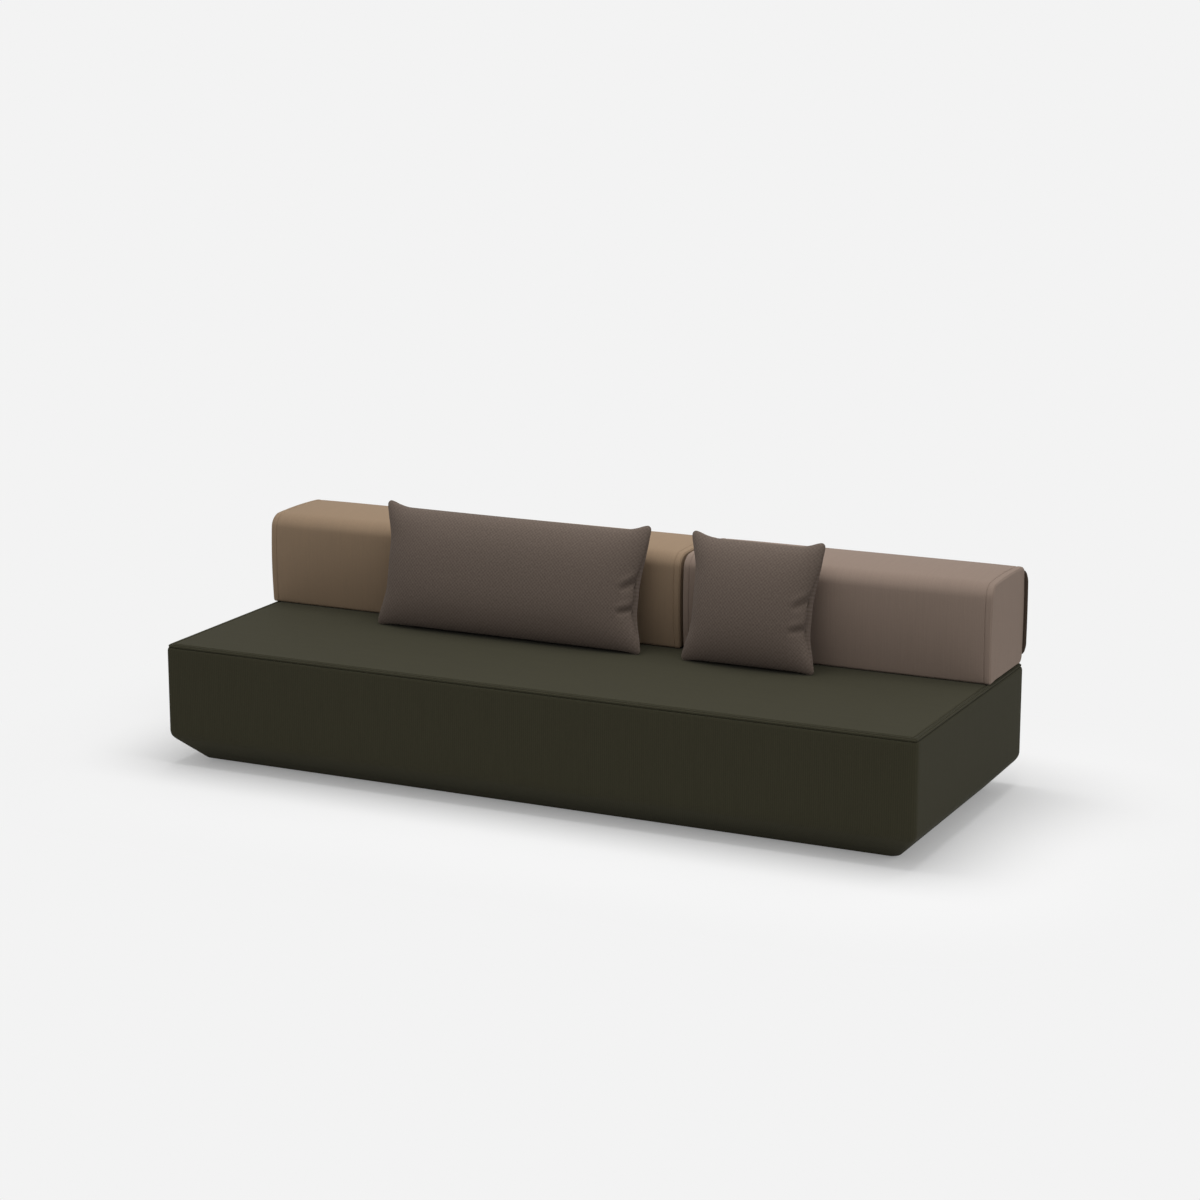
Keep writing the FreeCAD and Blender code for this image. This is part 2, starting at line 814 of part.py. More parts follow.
def cushion(name, width, x):
    """All the pieces of one cushion, by node name, leaning on the bolsters."""
    pieces = {}
    for panel, direction in (("front_panel", -1), ("back_panel", 1)):
        outer = cushion_half(width, direction, 0.0)
        pieces[f"{name}_{panel}"] = outer.cut(cushion_half(width, direction, cover_thickness))
    fill_inset = cover_thickness + soft_gap
    fill = cushion_half(width, -1, fill_inset).fuse(cushion_half(width, 1, fill_inset))
    pieces[f"{name}_fill"] = fill
    pieces[f"{name}_welt"] = cushion_welt(width)
    length = width - 2 * cushion_zip_margin
    back = cushion_half(width, 1, 0.0)
    seat = zip_seat(back, vector(0, 0, cushion_zip_height), 2 * cushion_crown)
    pieces[f"{name}_back_panel"] = pieces[f"{name}_back_panel"].cut(placed(zip_slot(length), seat))
    pieces[f"{name}_zip"] = placed(zip_chain(length), seat)
    pieces[f"{name}_zip_slider"] = placed(zip_slider(length), seat)
    lean = FreeCAD.Placement(vector(0, 0, 0), FreeCAD.Rotation(vector(1, 0, 0), -cushion_lean))
    leaning = {node: placed(shape, lean) for node, shape in pieces.items()}
    bounds = [shape.optimalBoundingBox(False, False) for shape in leaning.values()]
    lowest = min(bound.ZMin for bound in bounds)
    rearmost = max(bound.YMax for bound in bounds)
    shift = vector(x, back_front - soft_gap - rearmost, seat_height + soft_gap - lowest)
    print(name, "zip travel", round(zip_travel(length), 2))
    rest = FreeCAD.Placement(shift, FreeCAD.Rotation())
    return {node: solid_of(placed(shape, rest)) for node, shape in leaning.items()}


# The whole sofa bed

def sofa_bed():
    nodes = {}
    nodes.update(rails())
    nodes["corner_blocks"] = corner_blocks()
    nodes.update(skirt_boards())
    nodes.update(floor_battens())
    nodes["cross_rails"] = cross_rails()
    nodes["slat_ledgers"] = slat_ledgers()
    nodes["slat_holders"] = slat_holders()
    nodes["bed_slats"] = bed_slats()
    nodes["glides"] = glides()
    nodes["seat_core"] = seat_core()
    nodes["seat_topper"] = seat_topper()
    nodes.update(side_paddings())
    nodes.update(seat_covers())
    nodes["dust_cover"] = dust_cover()
    seam = left_back_width - seat_width / 2
    nodes.update(back_bolster("left_bolster", -seat_width / 2, seam))
    nodes.update(back_bolster("right_bolster", seam + back_joint_gap, seat_width / 2))
    nodes.update(cushion("long_cushion", long_cushion_width, long_cushion_x))
    nodes.update(cushion("square_cushion", square_cushion_width, square_cushion_x))
    return nodes


def main():
    os.makedirs("parts", exist_ok=True)
    for node, shape in sofa_bed().items():
        shape.exportStep(os.path.join("parts", node + ".step"))
        closed = all(s.isValid() and s.isClosed() for s in shape.Solids)
        print(f"{node}: {len(shape.Solids)} solids, {shape.Volume / 1e6:.3f} litres, closed {closed}")


main()
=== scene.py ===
"""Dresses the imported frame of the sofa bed: woven covers, loose bolsters and cushions, floor, light, camera.

Lengths are metres. The frame stands on z = 0 with its front towards -Y.
"""

import math

import bmesh
import bpy
from mathutils import Euler, Matrix, Vector


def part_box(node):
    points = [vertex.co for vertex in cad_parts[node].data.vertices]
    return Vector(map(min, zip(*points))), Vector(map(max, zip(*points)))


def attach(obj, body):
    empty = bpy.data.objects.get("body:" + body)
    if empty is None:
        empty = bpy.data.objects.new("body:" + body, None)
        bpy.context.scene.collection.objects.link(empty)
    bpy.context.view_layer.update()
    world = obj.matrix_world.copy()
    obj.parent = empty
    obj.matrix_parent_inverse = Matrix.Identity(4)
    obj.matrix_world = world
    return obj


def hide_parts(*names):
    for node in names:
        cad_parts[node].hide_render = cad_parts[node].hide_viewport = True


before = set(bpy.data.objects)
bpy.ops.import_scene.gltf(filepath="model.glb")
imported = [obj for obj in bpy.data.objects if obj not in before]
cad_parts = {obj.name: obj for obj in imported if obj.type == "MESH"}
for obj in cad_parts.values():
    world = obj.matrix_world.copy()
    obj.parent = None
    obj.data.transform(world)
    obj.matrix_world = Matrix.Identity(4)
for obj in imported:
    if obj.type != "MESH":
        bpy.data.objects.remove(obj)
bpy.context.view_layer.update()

# Base: the covered block with its undercut foot
BASE_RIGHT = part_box("right_band_panel")[1].x
BASE_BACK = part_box("rear_band_panel")[1].y
BASE_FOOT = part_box("front_band_panel")[0].z
SEAT_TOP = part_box("seat_top_panel")[1].z
SEAM_INSET = BASE_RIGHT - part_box("seat_top_panel")[1].x
UNDERCUT_RUN = 0.076
UNDERCUT_RISE = 0.079
UNDERCUT_ROUND = 0.040
FOOT_ROUND = 0.008
TURN_UNDER = 0.045
CORNER_ROUND = 0.016
FOOT_CORNER_ROUND = 0.026
LEAST_CORNER_ROUND = 0.002
LONG_STEPS = 150
SHORT_STEPS = 57
CORNER_STEPS = 6
SIDE_STEPS = 12

# Seat edge, from the side band up: a bead between two sunk seams, a roll to the top, a stitched groove
SEAT_EDGE = 0.0095
BAND_TOP = SEAT_TOP - SEAT_EDGE
EDGE_ROLL = 0.012
SEAM_TUCK = 0.005
BEAD_PITCH = 0.00726
BEAD_HALF = 0.0033
BEAD_REACH = 0.003
BEAD_SINK = 0.001
BEAD_TURN = math.radians(160)
ROLL_SINK = 0.002
ROLL_RUN = 0.004
TOPSTITCH_INSET = 0.0175
TOPSTITCH_DEPTH = 0.0036
TOPSTITCH_WIDTH = 0.0022
RIM_WIDTH = 0.050

# Bolsters: their swell and rounds
BOLSTER_SWELL = 0.007
BOLSTER_TOP_SWELL = 0.012
BOLSTER_FRONT_ROUND = 0.038
BOLSTER_REAR_ROUND = 0.015
BOLSTER_BOTTOM_ROUND = 0.024
BOLSTER_FOOT_ROUND = 0.007
BOLSTER_LEAST_ROUND = 0.003
BOLSTER_STEP = 0.012

# Bolster ends: the sleeve's stitched seam, the rounded edge with the end panel's seam, the domed face
END_SEAM = 0.025
END_SEAM_DEPTH = 0.0017
END_SEAM_WIDTH = 0.0013
END_BAND_SWELL = 0.0006
END_EDGE_ROUND = 0.006
END_DOME = 0.004
FACE_SEAM_DEPTH = 0.0010
FACE_SEAM_WIDTH = 0.0014

# As photographed: a fuller left end, inner ends that almost touch, tops that flatten at the ends and rise to
# the right along the row
OUTER_SWELL = 0.007
INNER_SWELL = 0.0009
END_CROWN = 0.3
CROWN_RUN = 0.15
ROW_TILT = 0.0055

# The cover sags to the seat in front of the grip strips and behind them; shares of the half depth and height
FOOT_LIP = 0.0026
LIP_START = 0.72
LIP_RUN = 0.2
UNDERSIDE = -0.8

# Flange along the right bolster's rear upright edge, drawn in darker cloth as painted shade on that edge
FLANGE_REACH = 0.010
FLANGE_THICK = 0.003
FLANGE_INSET = 0.001
FLANGE_FADE = 9
FLANGE_STEPS = 40

# Slot for the zip in a bolster's rear side
ZIP_SINK = 0.003
ZIP_ROOM = 0.0006
ZIP_LIP = 0.0016
REAR_SIDE = 0.9

# Cushions: lean, crown and cut; rows lie closer together towards the seams
CUSHION_LEAN = math.radians(12)
CUSHION_CROWN = 0.060
CUSHION_CORNER = 0.012
CUSHION_STEP = 0.0068
ROW_CLOSENESS = 1.55
CROWN_FULLNESS = 2.3
LONG_FULLNESS = 1.7
CROWN_DROP = 0.05

# Draw-in of panels and seam between a cushion's ears, greater on its right side, and the size of the ears
TOP_SAG = 0.013
FOOT_DRAW = 0.002
SEAM_SINK = 0.007
FRONT_DRAW = 0.022
BACK_DRAW = 0.015
SEAM_DRAW = 0.029
RIGHT_DRAW = 1.45
EAR_REACH = 0.004
EAR_TIP = 0.004
TOP_EAR = 0.075
SIDE_EAR = 0.120
RIGHT_TOP_EAR = 0.200

# Fill and piping of a cushion, and how it rests on what is under and behind it
CUSHION_PRESSURE = 4.0
CUSHION_FRAMES = 14
CUSHION_CAP = 0.002
PIPING = 0.0016
RESTING_GAP = 0.0004
ZIP_HOLD = 0.035
BOLSTER_SHOULDER = 0.024

# Pinches beside a cushion's right seam: each a dent with a low ridge along it, which also draws the seam in
PINCH_LEVELS = (0.045, -0.165)
PINCH_SLOPES = (0.60, 0.30)
PINCH_DEPTH = 0.009
PINCH_WIDTH = 0.0075
PINCH_REACH = 0.046
PINCH_START = -0.8
PINCH_SINK = 0.004
SINK_SPREAD = 3
RIDGE_SHARE = 0.4
RIDGE_OFFSET = 2.4
RIDGE_WIDTH = 1.4

# Stitching
STITCH_PITCH = 0.0075
STITCH_LENGTH = 0.0055
STITCH_SIDES = 5
THREAD = 0.0005

# Weave of the ribbed cloths: length of a slub, grain and share of the nap; share of the basket's crossings
SLUB_LENGTH = 0.12
NAP_GRAIN = 0.005
NAP_LIFT = 0.25
CROSSING_LIFT = 0.3

# Studio
FLOOR_REACH = 30.0
FLOOR_FADE_START = 0.10
FLOOR_FADE_END = 0.75
FLOOR_FADE_LEAST = 0.25
PAPER_FIBRE = 0.002
FLOOR_BOUNCE = "e0e0e0"
PALE_GREY = "f3f3f3"
FILL_LIGHT = 0.59


def linear(hex_colour):
    """Turns an sRGB hex colour into linear RGBA."""
    channels = []
    for at in (0, 2, 4):
        value = int(hex_colour[at:at + 2], 16) / 255
        channels.append(value / 12.92 if value <= 0.04045 else ((value + 0.055) / 1.055) ** 2.4)
    return (*channels, 1.0)


def node(tree, kind, sockets=None, **settings):
    """Adds a node, sets it up, and fills its sockets with values or with (node, output) links."""
    made = tree.nodes.new(kind)
    for name, value in settings.items():
        setattr(made, name, value)
    for name, value in (sockets or {}).items():
        if isinstance(value, tuple) and isinstance(value[0], bpy.types.Node):
            tree.links.new(value[0].outputs[value[1]], made.inputs[name])
        else:
            made.inputs[name].default_value = value
    return made


def new_material(name):
    """Starts a node material and returns it with its tree and its shader."""
    made = bpy.data.materials.new(name)
    made.use_nodes = True
    tree = made.node_tree
    shader = tree.nodes["Principled BSDF"]
    return made, tree, shader


def rib_cloth(name, pale, dark, rib, rib_lift, streak_lift):
    """Woven upholstery cloth with fine ribs: warp cords pressed flat on the loom.

    The eye gets a matte face with faint upright streaks and a soft sheen towards the edges.
    The real cords are about 1.5 mm apart; they are drawn wider so that they show in the picture.
    """
    made, tree, shader = new_material(name)
    place = node(tree, "ShaderNodeTexCoord")
    cords = node(tree, "ShaderNodeMapping", {"Vector": (place, "UV"), "Scale": (1 / rib, 0.0, 0.0)})
    ribs = node(tree, "ShaderNodeTexWave", {"Vector": (cords, "Vector"), "Scale": 1 / math.pi,
                                            "Distortion": 0.0}, wave_profile="SIN")
    slub_grid = node(tree, "ShaderNodeMapping", {"Vector": (place, "UV"),
                                                 "Scale": (1 / rib, 1 / SLUB_LENGTH, 1.0)})
    slubs = node(tree, "ShaderNodeTexNoise", {"Vector": (slub_grid, "Vector"), "Scale": 0.7, "Detail": 3.0,
                                              "Roughness": 0.6})
    nap_grid = node(tree, "ShaderNodeMapping", {"Vector": (place, "UV"),
                                                "Scale": (1 / NAP_GRAIN, 1 / NAP_GRAIN, 1.0)})
    nap = node(tree, "ShaderNodeTexNoise", {"Vector": (nap_grid, "Vector"), "Scale": 1.0, "Detail": 2.0})
    cord_share = node(tree, "ShaderNodeMath", {0: (ribs, "Fac"), 1: rib_lift}, operation="MULTIPLY")
    slub_share = node(tree, "ShaderNodeMath", {0: (slubs, "Fac"), 1: streak_lift, 2: (cord_share, "Value")},
                      operation="MULTIPLY_ADD")
    nap_share = node(tree, "ShaderNodeMath", {0: (nap, "Fac"), 1: NAP_LIFT, 2: (slub_share, "Value")},
                     operation="MULTIPLY_ADD")
    spread = rib_lift + streak_lift + NAP_LIFT
    tone = node(tree, "ShaderNodeMath", {0: (nap_share, "Value"), 1: spread}, operation="DIVIDE")
    colour = node(tree, "ShaderNodeMix", {"Factor": (tone, "Value"), 6: linear(dark), 7: linear(pale)},
                  data_type="RGBA")
    lift = node(tree, "ShaderNodeBump", {"Height": (nap_share, "Value"), "Strength": 0.35,
                                         "Distance": 0.0006})
    tree.links.new(colour.outputs[2], shader.inputs["Base Color"])
    tree.links.new(lift.outputs["Normal"], shader.inputs["Normal"])
    shader.inputs["Roughness"].default_value = 0.9
    shader.inputs["IOR"].default_value = 1.45
    shader.inputs["Specular IOR Level"].default_value = 0.08
    shader.inputs["Sheen Weight"].default_value = 0.03
    shader.inputs["Sheen Roughness"].default_value = 0.5
    return made


def basket_cloth(name, pale, dark, check):
    """Basket-woven cushion cloth: pairs of threads that pass over and under each other.

    The eye gets a faint check, because each crossing catches the light a little differently.
    The real crossings are about 2 mm apart; they are drawn wider so that they show in the picture.
    """
    made, tree, shader = new_material(name)
    place = node(tree, "ShaderNodeTexCoord")
    crossings = node(tree, "ShaderNodeTexChecker", {"Vector": (place, "UV"), "Scale": 1 / check})
    thread_grid = node(tree, "ShaderNodeMapping", {"Vector": (place, "UV"),
                                                   "Scale": (1 / check, 1 / check, 1.0)})
    threads = node(tree, "ShaderNodeTexNoise", {"Vector": (thread_grid, "Vector"), "Scale": 0.9,
                                                "Detail": 2.0, "Roughness": 0.5})
    tone = node(tree, "ShaderNodeMath", {0: (crossings, "Fac"), 1: CROSSING_LIFT, 2: (threads, "Fac")},
                operation="MULTIPLY_ADD")
    share = node(tree, "ShaderNodeMath", {0: (tone, "Value"), 1: 1 + CROSSING_LIFT}, operation="DIVIDE")
    colour = node(tree, "ShaderNodeMix", {"Factor": (share, "Value"), 6: linear(dark), 7: linear(pale)},
                  data_type="RGBA")
    lift = node(tree, "ShaderNodeBump", {"Height": (tone, "Value"), "Strength": 0.4, "Distance": 0.0007})
    tree.links.new(colour.outputs[2], shader.inputs["Base Color"])
    tree.links.new(lift.outputs["Normal"], shader.inputs["Normal"])
    shader.inputs["Roughness"].default_value = 0.88
    shader.inputs["IOR"].default_value = 1.45
    shader.inputs["Specular IOR Level"].default_value = 0.08
    shader.inputs["Sheen Weight"].default_value = 0.04
    shader.inputs["Sheen Roughness"].default_value = 0.5
    return made


def sawn_wood(name, pale, dark, along, grain_width, roughness):
    """Sawn or planed timber: growth rings cut along the plank show as long uneven grain lines.

    The eye gets streaks that run with the plank, darker latewood between paler earlywood.
    """
    made, tree, shader = new_material(name)
    place = node(tree, "ShaderNodeTexCoord")
    stretch = [1 / grain_width] * 3
    stretch[along] = 1 / (grain_width * 25)
    plank = node(tree, "ShaderNodeMapping", {"Vector": (place, "Object"), "Scale": stretch})
    grain = node(tree, "ShaderNodeTexNoise", {"Vector": (plank, "Vector"), "Scale": 0.5, "Detail": 5.0,
                                              "Roughness": 0.65, "Distortion": 0.4})
    colour = node(tree, "ShaderNodeMix", {"Factor": (grain, "Fac"), 6: linear(dark), 7: linear(pale)},
                  data_type="RGBA")
    lift = node(tree, "ShaderNodeBump", {"Height": (grain, "Fac"), "Strength": 0.2, "Distance": 0.0005})
    tree.links.new(colour.outputs[2], shader.inputs["Base Color"])
    tree.links.new(lift.outputs["Normal"], shader.inputs["Normal"])
    shader.inputs["Roughness"].default_value = roughness
    shader.inputs["IOR"].default_value = 1.5
    return made


def speckled(name, pale, dark, grain, roughness, ior, metallic=0.0):
    """A moulded, calendered or cast surface with a fine even grain, which breaks up its highlight."""
    made, tree, shader = new_material(name)
    place = node(tree, "ShaderNodeTexCoord")
    grains = node(tree, "ShaderNodeTexNoise", {"Vector": (place, "Object"), "Scale": 1 / grain,
                                               "Detail": 3.0})
    colour = node(tree, "ShaderNodeMix", {"Factor": (grains, "Fac"), 6: linear(dark), 7: linear(pale)},
                  data_type="RGBA")
    lift = node(tree, "ShaderNodeBump", {"Height": (grains, "Fac"), "Strength": 0.25, "Distance": 0.0003})
    tree.links.new(colour.outputs[2], shader.inputs["Base Color"])
    tree.links.new(lift.outputs["Normal"], shader.inputs["Normal"])
    shader.inputs["Roughness"].default_value = roughness
    shader.inputs["IOR"].default_value = ior
    shader.inputs["Metallic"].default_value = metallic
    return made


olive_cloth = rib_cloth("olive_rib_cloth", "3c3a2c", "312f23", rib=0.0065, rib_lift=0.5, streak_lift=0.5)
tan_cloth = rib_cloth("tan_wool_cloth", "917c65", "826f5c", rib=0.005, rib_lift=0.12, streak_lift=0.4)
taupe_cloth = rib_cloth("taupe_wool_cloth", "8b7b6f", "7c6c62", rib=0.005, rib_lift=0.12, streak_lift=0.4)
# Darker taupe for the flange on the right bolster's rear edge: painted shade where that edge turns away from
# the light
painted_shade_taupe_cloth = rib_cloth("taupe_cloth_painted_shade", "4c4138", "40362e", rib=0.005, rib_lift=0.12, streak_lift=0.4)
mauve_cloth = basket_cloth("mauve_basket_cloth", "72665d", "554a43", check=0.006)
# Spruce, sawn and planed; plywood, sanded birch faces; beech slats, steam bent and lacquered
spruce = sawn_wood("sawn_spruce", "d8b98a", "b08a5a", along=0, grain_width=0.006, roughness=0.65)
spruce_across = sawn_wood("sawn_spruce_cross", "d8b98a", "b08a5a", along=1, grain_width=0.006, roughness=0.65)
birch_ply = sawn_wood("birch_plywood", "cdaf83", "b3905f", along=0, grain_width=0.004, roughness=0.6)
beech = sawn_wood("steam_bent_beech", "cfa273", "b58354", along=1, grain_width=0.0025, roughness=0.42)
# Moulded polypropylene holders and glides, spun-bonded dust cover, ribbed rubber grips
black_plastic = speckled("moulded_polypropylene", "1c1c1c", "101010", 0.0008, 0.5, 1.49)
black_lining = speckled("spun_bonded_lining", "1f1f1e", "0e0e0e", 0.0015, 0.95, 1.45)
grip_rubber = speckled("ribbed_rubber", "242321", "141312", 0.001, 0.85, 1.52)
# Zip: woven polyester tape with a nylon coil, and a painted zinc slider
zip_tape = speckled("polyester_zip_tape", "4a4038", "33291f", 0.0012, 0.8, 1.5)
zip_paint = speckled("painted_zinc", "4a433d", "3b3530", 0.0006, 0.38, 1.5)

SOLID_MATERIALS = {
    spruce: ("front_rail", "rear_rail", "long_floor_battens", "slat_ledgers", "corner_blocks"),
    spruce_across: ("left_end_rail", "right_end_rail", "end_floor_battens", "cross_floor_battens",
                    "cross_rails"),
    birch_ply: ("long_skirts", "end_skirts", "left_bolster_board", "right_bolster_board"),
    beech: ("bed_slats",),
    black_plastic: ("slat_holders", "glides"),
    black_lining: ("dust_cover",),
    grip_rubber: ("left_bolster_grip_strips", "right_bolster_grip_strips"),
    zip_tape: ("left_bolster_zip", "right_bolster_zip", "long_cushion_zip", "square_cushion_zip"),
    zip_paint: ("left_bolster_zip_slider", "right_bolster_zip_slider", "long_cushion_zip_slider",
                "square_cushion_zip_slider"),
}


def dress_solids():
    """Gives each solid that stays in view its material."""
    for material, names in SOLID_MATERIALS.items():
        for name in names:
            solid = bpy.data.objects[name]
            if not solid.material_slots:
                solid.data.materials.append(material)
            for seat in solid.material_slots:
                seat.material = material


def linked(name, data):
    """Puts a new object with this data into the scene."""
    made = bpy.data.objects.new(name, data)
    bpy.context.collection.objects.link(made)
    return made


def made_up(name, shape):
    """Turns an edited shape into an object, with its faces turned outward."""
    bmesh.ops.recalc_face_normals(shape, faces=shape.faces)
    mesh = bpy.data.meshes.new(name)
    shape.to_mesh(mesh)
    shape.free()
    return linked(name, mesh)


def sew(name, *grids):
    """Makes one mesh from grids of (place, thread place) points, joined where their points meet."""
    shape = bmesh.new()
    threads = shape.loops.layers.uv.new("weave")
    for grid in grids:
        knots = [[shape.verts.new(place) for place, _ in row] for row in grid]
        for r in range(len(grid) - 1):
            for c in range(len(grid[r]) - 1):
                corners = ((r, c), (r, c + 1), (r + 1, c + 1), (r + 1, c))
                face = shape.faces.new([knots[i][j] for i, j in corners])
                face.smooth = True
                for loop, (i, j) in zip(face.loops, corners):
                    loop[threads].uv = grid[i][j][1]
    bmesh.ops.remove_doubles(shape, verts=shape.verts, dist=1e-6)
    return made_up(name, shape)


def finish_piece(piece, body, slot, cloth, *nodes, fill=None):
    """Gives a piece its cloth and its body, and hides the solids that it stands for; its slot is not used."""
    piece.data.materials.append(cloth)
    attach(piece, body)
    if nodes:
        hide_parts(*nodes)


def rounded_path(corners, steps=6):
    """Joins (point, radius) corners with straight runs and bends of those radii."""
    path = [Vector(corners[0][0])]
    for before, (point, radius), after in zip(corners, corners[1:], corners[2:]):
        point = Vector(point)
        back = (Vector(before[0]) - point).normalized()
        on = (Vector(after[0]) - point).normalized()
        turn = math.pi - back.angle(on)
        reach = radius * math.tan(turn / 2)
        first = point + back * reach
        last = point + on * reach
        for step in range(steps + 1):
            t = step / steps
            path.append(first * (1 - t) ** 2 + point * 2 * t * (1 - t) + last * t ** 2)
    path.append(Vector(corners[-1][0]))
    return path


def plan_ring(inset, radius):
    """Outline of the base drawn in by inset, from the rear right corner round to itself."""
    half_x = BASE_RIGHT - inset
    half_y = BASE_BACK - inset
    ring = []
    for corner, (side_x, side_y) in enumerate(((1, 1), (-1, 1), (-1, -1), (1, -1))):
        middle = Vector((side_x * (half_x - radius), side_y * (half_y - radius)))
        for step in range(CORNER_STEPS + 1):
            turn = (corner + step / CORNER_STEPS) * math.pi / 2
            ring.append(middle + radius * Vector((math.cos(turn), math.sin(turn))))
        next_x, next_y = ((-1, 1), (-1, -1), (1, -1), (1, 1))[corner]
        next_turn = (corner + 1) * math.pi / 2
        start = ring[-1]
        end = Vector((next_x * (half_x - radius), next_y * (half_y - radius)))
        end = end + radius * Vector((math.cos(next_turn), math.sin(next_turn)))
        count = LONG_STEPS if corner % 2 == 0 else SHORT_STEPS
        ring += [start.lerp(end, step / count) for step in range(1, count)]
    ring.append(ring[0])
    return ring


def runs_along(points):
    """Distance along a row of points at each of them."""
    runs = [0.0]
    for a, b in zip(points, points[1:]):
        runs.append(runs[-1] + (b - a).length)
    return runs


def base_side_cover():
    """Side band: rolls in to the top seam, bends under at the undercut and turns under the foot."""
    profile = [Vector((SEAM_INSET + SEAM_TUCK, BAND_TOP - SEAM_TUCK / 2))]
    for step in range(9):
        rise = 1 - step / 8
        inset = SEAM_INSET * (1 - math.sqrt(1 - rise ** 2))
        profile.append(Vector((inset, BAND_TOP - EDGE_ROLL * (1 - rise))))
    foot_level = BAND_TOP - EDGE_ROLL
    bend_level = BASE_FOOT + UNDERCUT_RISE
    below = rounded_path((
        ((0.0, foot_level), 0.0),
        ((0.0, bend_level), UNDERCUT_ROUND),
        ((UNDERCUT_RUN, BASE_FOOT), FOOT_ROUND),
        ((UNDERCUT_RUN + TURN_UNDER, BASE_FOOT), 0.0),
    ))
    bend_start = below[1]
    profile += [below[0].lerp(bend_start, step / SIDE_STEPS) for step in range(1, SIDE_STEPS)]
    profile += below[1:]
    depths = runs_along(profile)
    runs = runs_along(plan_ring(0.0, CORNER_ROUND))
    grid = []
    for (inset, height), depth in zip(profile, depths):
        fullness = min(max(inset / UNDERCUT_RUN, 0.0), 1.0)
        radius = CORNER_ROUND + (FOOT_CORNER_ROUND - CORNER_ROUND) * fullness
        ring = plan_ring(inset, radius)
        grid.append([((p.x, p.y, height), (run, depth)) for p, run in zip(ring, runs)])
    piece = sew("base_side_cover", grid)
    panels = [f"{side}_{part}" for side in ("front", "rear", "left", "right")
              for part in ("band_panel", "padding")]
    finish_piece(piece, "base", "olive_weave", olive_cloth, *panels, fill=0.9)


def seat_height(inset):
    """Height of the seat's top cloth at a distance in from the base's outline, with the stitched groove."""
    dip = math.exp(-((inset - TOPSTITCH_INSET) / TOPSTITCH_WIDTH) ** 2)
    return SEAT_TOP - TOPSTITCH_DEPTH * dip


def bead_profile():
    """(inset, height) pairs up the seat's edge: lower seam, round bead, upper seam, roll to the top."""
    profile = [(SEAM_INSET + SEAM_TUCK, BAND_TOP)]
    middle = BAND_TOP + BEAD_PITCH / 2
    for step in range(9):
        turn = BEAD_TURN * (step / 8 - 0.5)
        inset = SEAM_INSET + BEAD_SINK - BEAD_REACH * math.cos(turn)
        profile.append((inset, middle + BEAD_HALF * math.sin(turn)))
    upper_seam = BAND_TOP + BEAD_PITCH
    profile.append((SEAM_INSET + SEAM_TUCK, upper_seam))
    for step in range(5):
        turn = math.pi / 2 * step / 4
        inset = SEAM_INSET + ROLL_SINK + ROLL_RUN * (1 - math.cos(turn))
        profile.append((inset, upper_seam + (SEAT_TOP - upper_seam) * math.sin(turn)))
    return profile


def seat_top_cover():
    """Top panel: its beaded edge, the stitched groove inside that, and the flat field."""
    groove = [TOPSTITCH_INSET + TOPSTITCH_WIDTH * share for share in (-3, -2, -1.3, -0.7, 0, 0.7, 1.3, 2, 3)]
    profile = bead_profile() + [(inset, seat_height(inset)) for inset in groove + [RIM_WIDTH]]
    grid = []
    for inset, height in profile:
        radius = max(CORNER_ROUND - inset, LEAST_CORNER_ROUND) if inset < RIM_WIDTH else 0.0
        grid.append([((p.x, p.y, height), (p.y, p.x)) for p in plan_ring(inset, radius)])
    half_x = BASE_RIGHT - RIM_WIDTH
    half_y = BASE_BACK - RIM_WIDTH
    field = []
    for row in range(SHORT_STEPS + 1):
        y = half_y * (2 * row / SHORT_STEPS - 1)
        line = []
        for column in range(LONG_STEPS + 1):
            x = half_x * (2 * column / LONG_STEPS - 1)
            line.append(((x, y, SEAT_TOP), (y, x)))
        field.append(line)
    piece = sew("seat_top_cover", grid, field)
    nodes = ("seat_top_panel", "seat_topper", "seat_core")
    finish_piece(piece, "base", "olive_weave", olive_cloth, *nodes, fill=1.0)


def stitch_row(name, path, body, slot, cloth):
    """A row of short thread stitches along a closed path of points."""
    shape = bmesh.new()
    runs = runs_along(path)
    count = int(runs[-1] / STITCH_PITCH)
    at = 0
    for stitch in range(count):
        middle_run = (stitch + 0.5) * runs[-1] / count
        while runs[at + 1] < middle_run:
            at += 1
        share = (middle_run - runs[at]) / (runs[at + 1] - runs[at])
        middle = path[at].lerp(path[at + 1], share)
        along = (path[at + 1] - path[at]).normalized()
        across = along.orthogonal().normalized()
        third = along.cross(across)
        ends = [shape.verts.new(middle + along * STITCH_LENGTH / 2 * sign) for sign in (-1, 1)]
        loops = []
        for sign in (-1, 1):
            loop = []
            for side in range(STITCH_SIDES):
                turn = 2 * math.pi * side / STITCH_SIDES
                spread = across * math.cos(turn) + third * math.sin(turn)
                loop.append(shape.verts.new(middle + along * STITCH_LENGTH / 4 * sign + spread * THREAD))
            loops.append(loop)
        for side in range(STITCH_SIDES):
            after = (side + 1) % STITCH_SIDES
            shape.faces.new((loops[0][side], loops[0][after], loops[1][after], loops[1][side]))
            shape.faces.new((ends[0], loops[0][after], loops[0][side]))
            shape.faces.new((ends[1], loops[1][side], loops[1][after]))
    for face in shape.faces:
        face.smooth = True
    finish_piece(made_up(name, shape), body, slot, cloth)


def seat_topstitching():
    """Stitches that lie in the groove round the seat's top."""
    level = seat_height(TOPSTITCH_INSET) + THREAD
    path = [Vector((p.x, p.y, level)) for p in plan_ring(TOPSTITCH_INSET, LEAST_CORNER_ROUND)]
    stitch_row("seat_topstitching", path, "base", "olive_weave", olive_cloth)


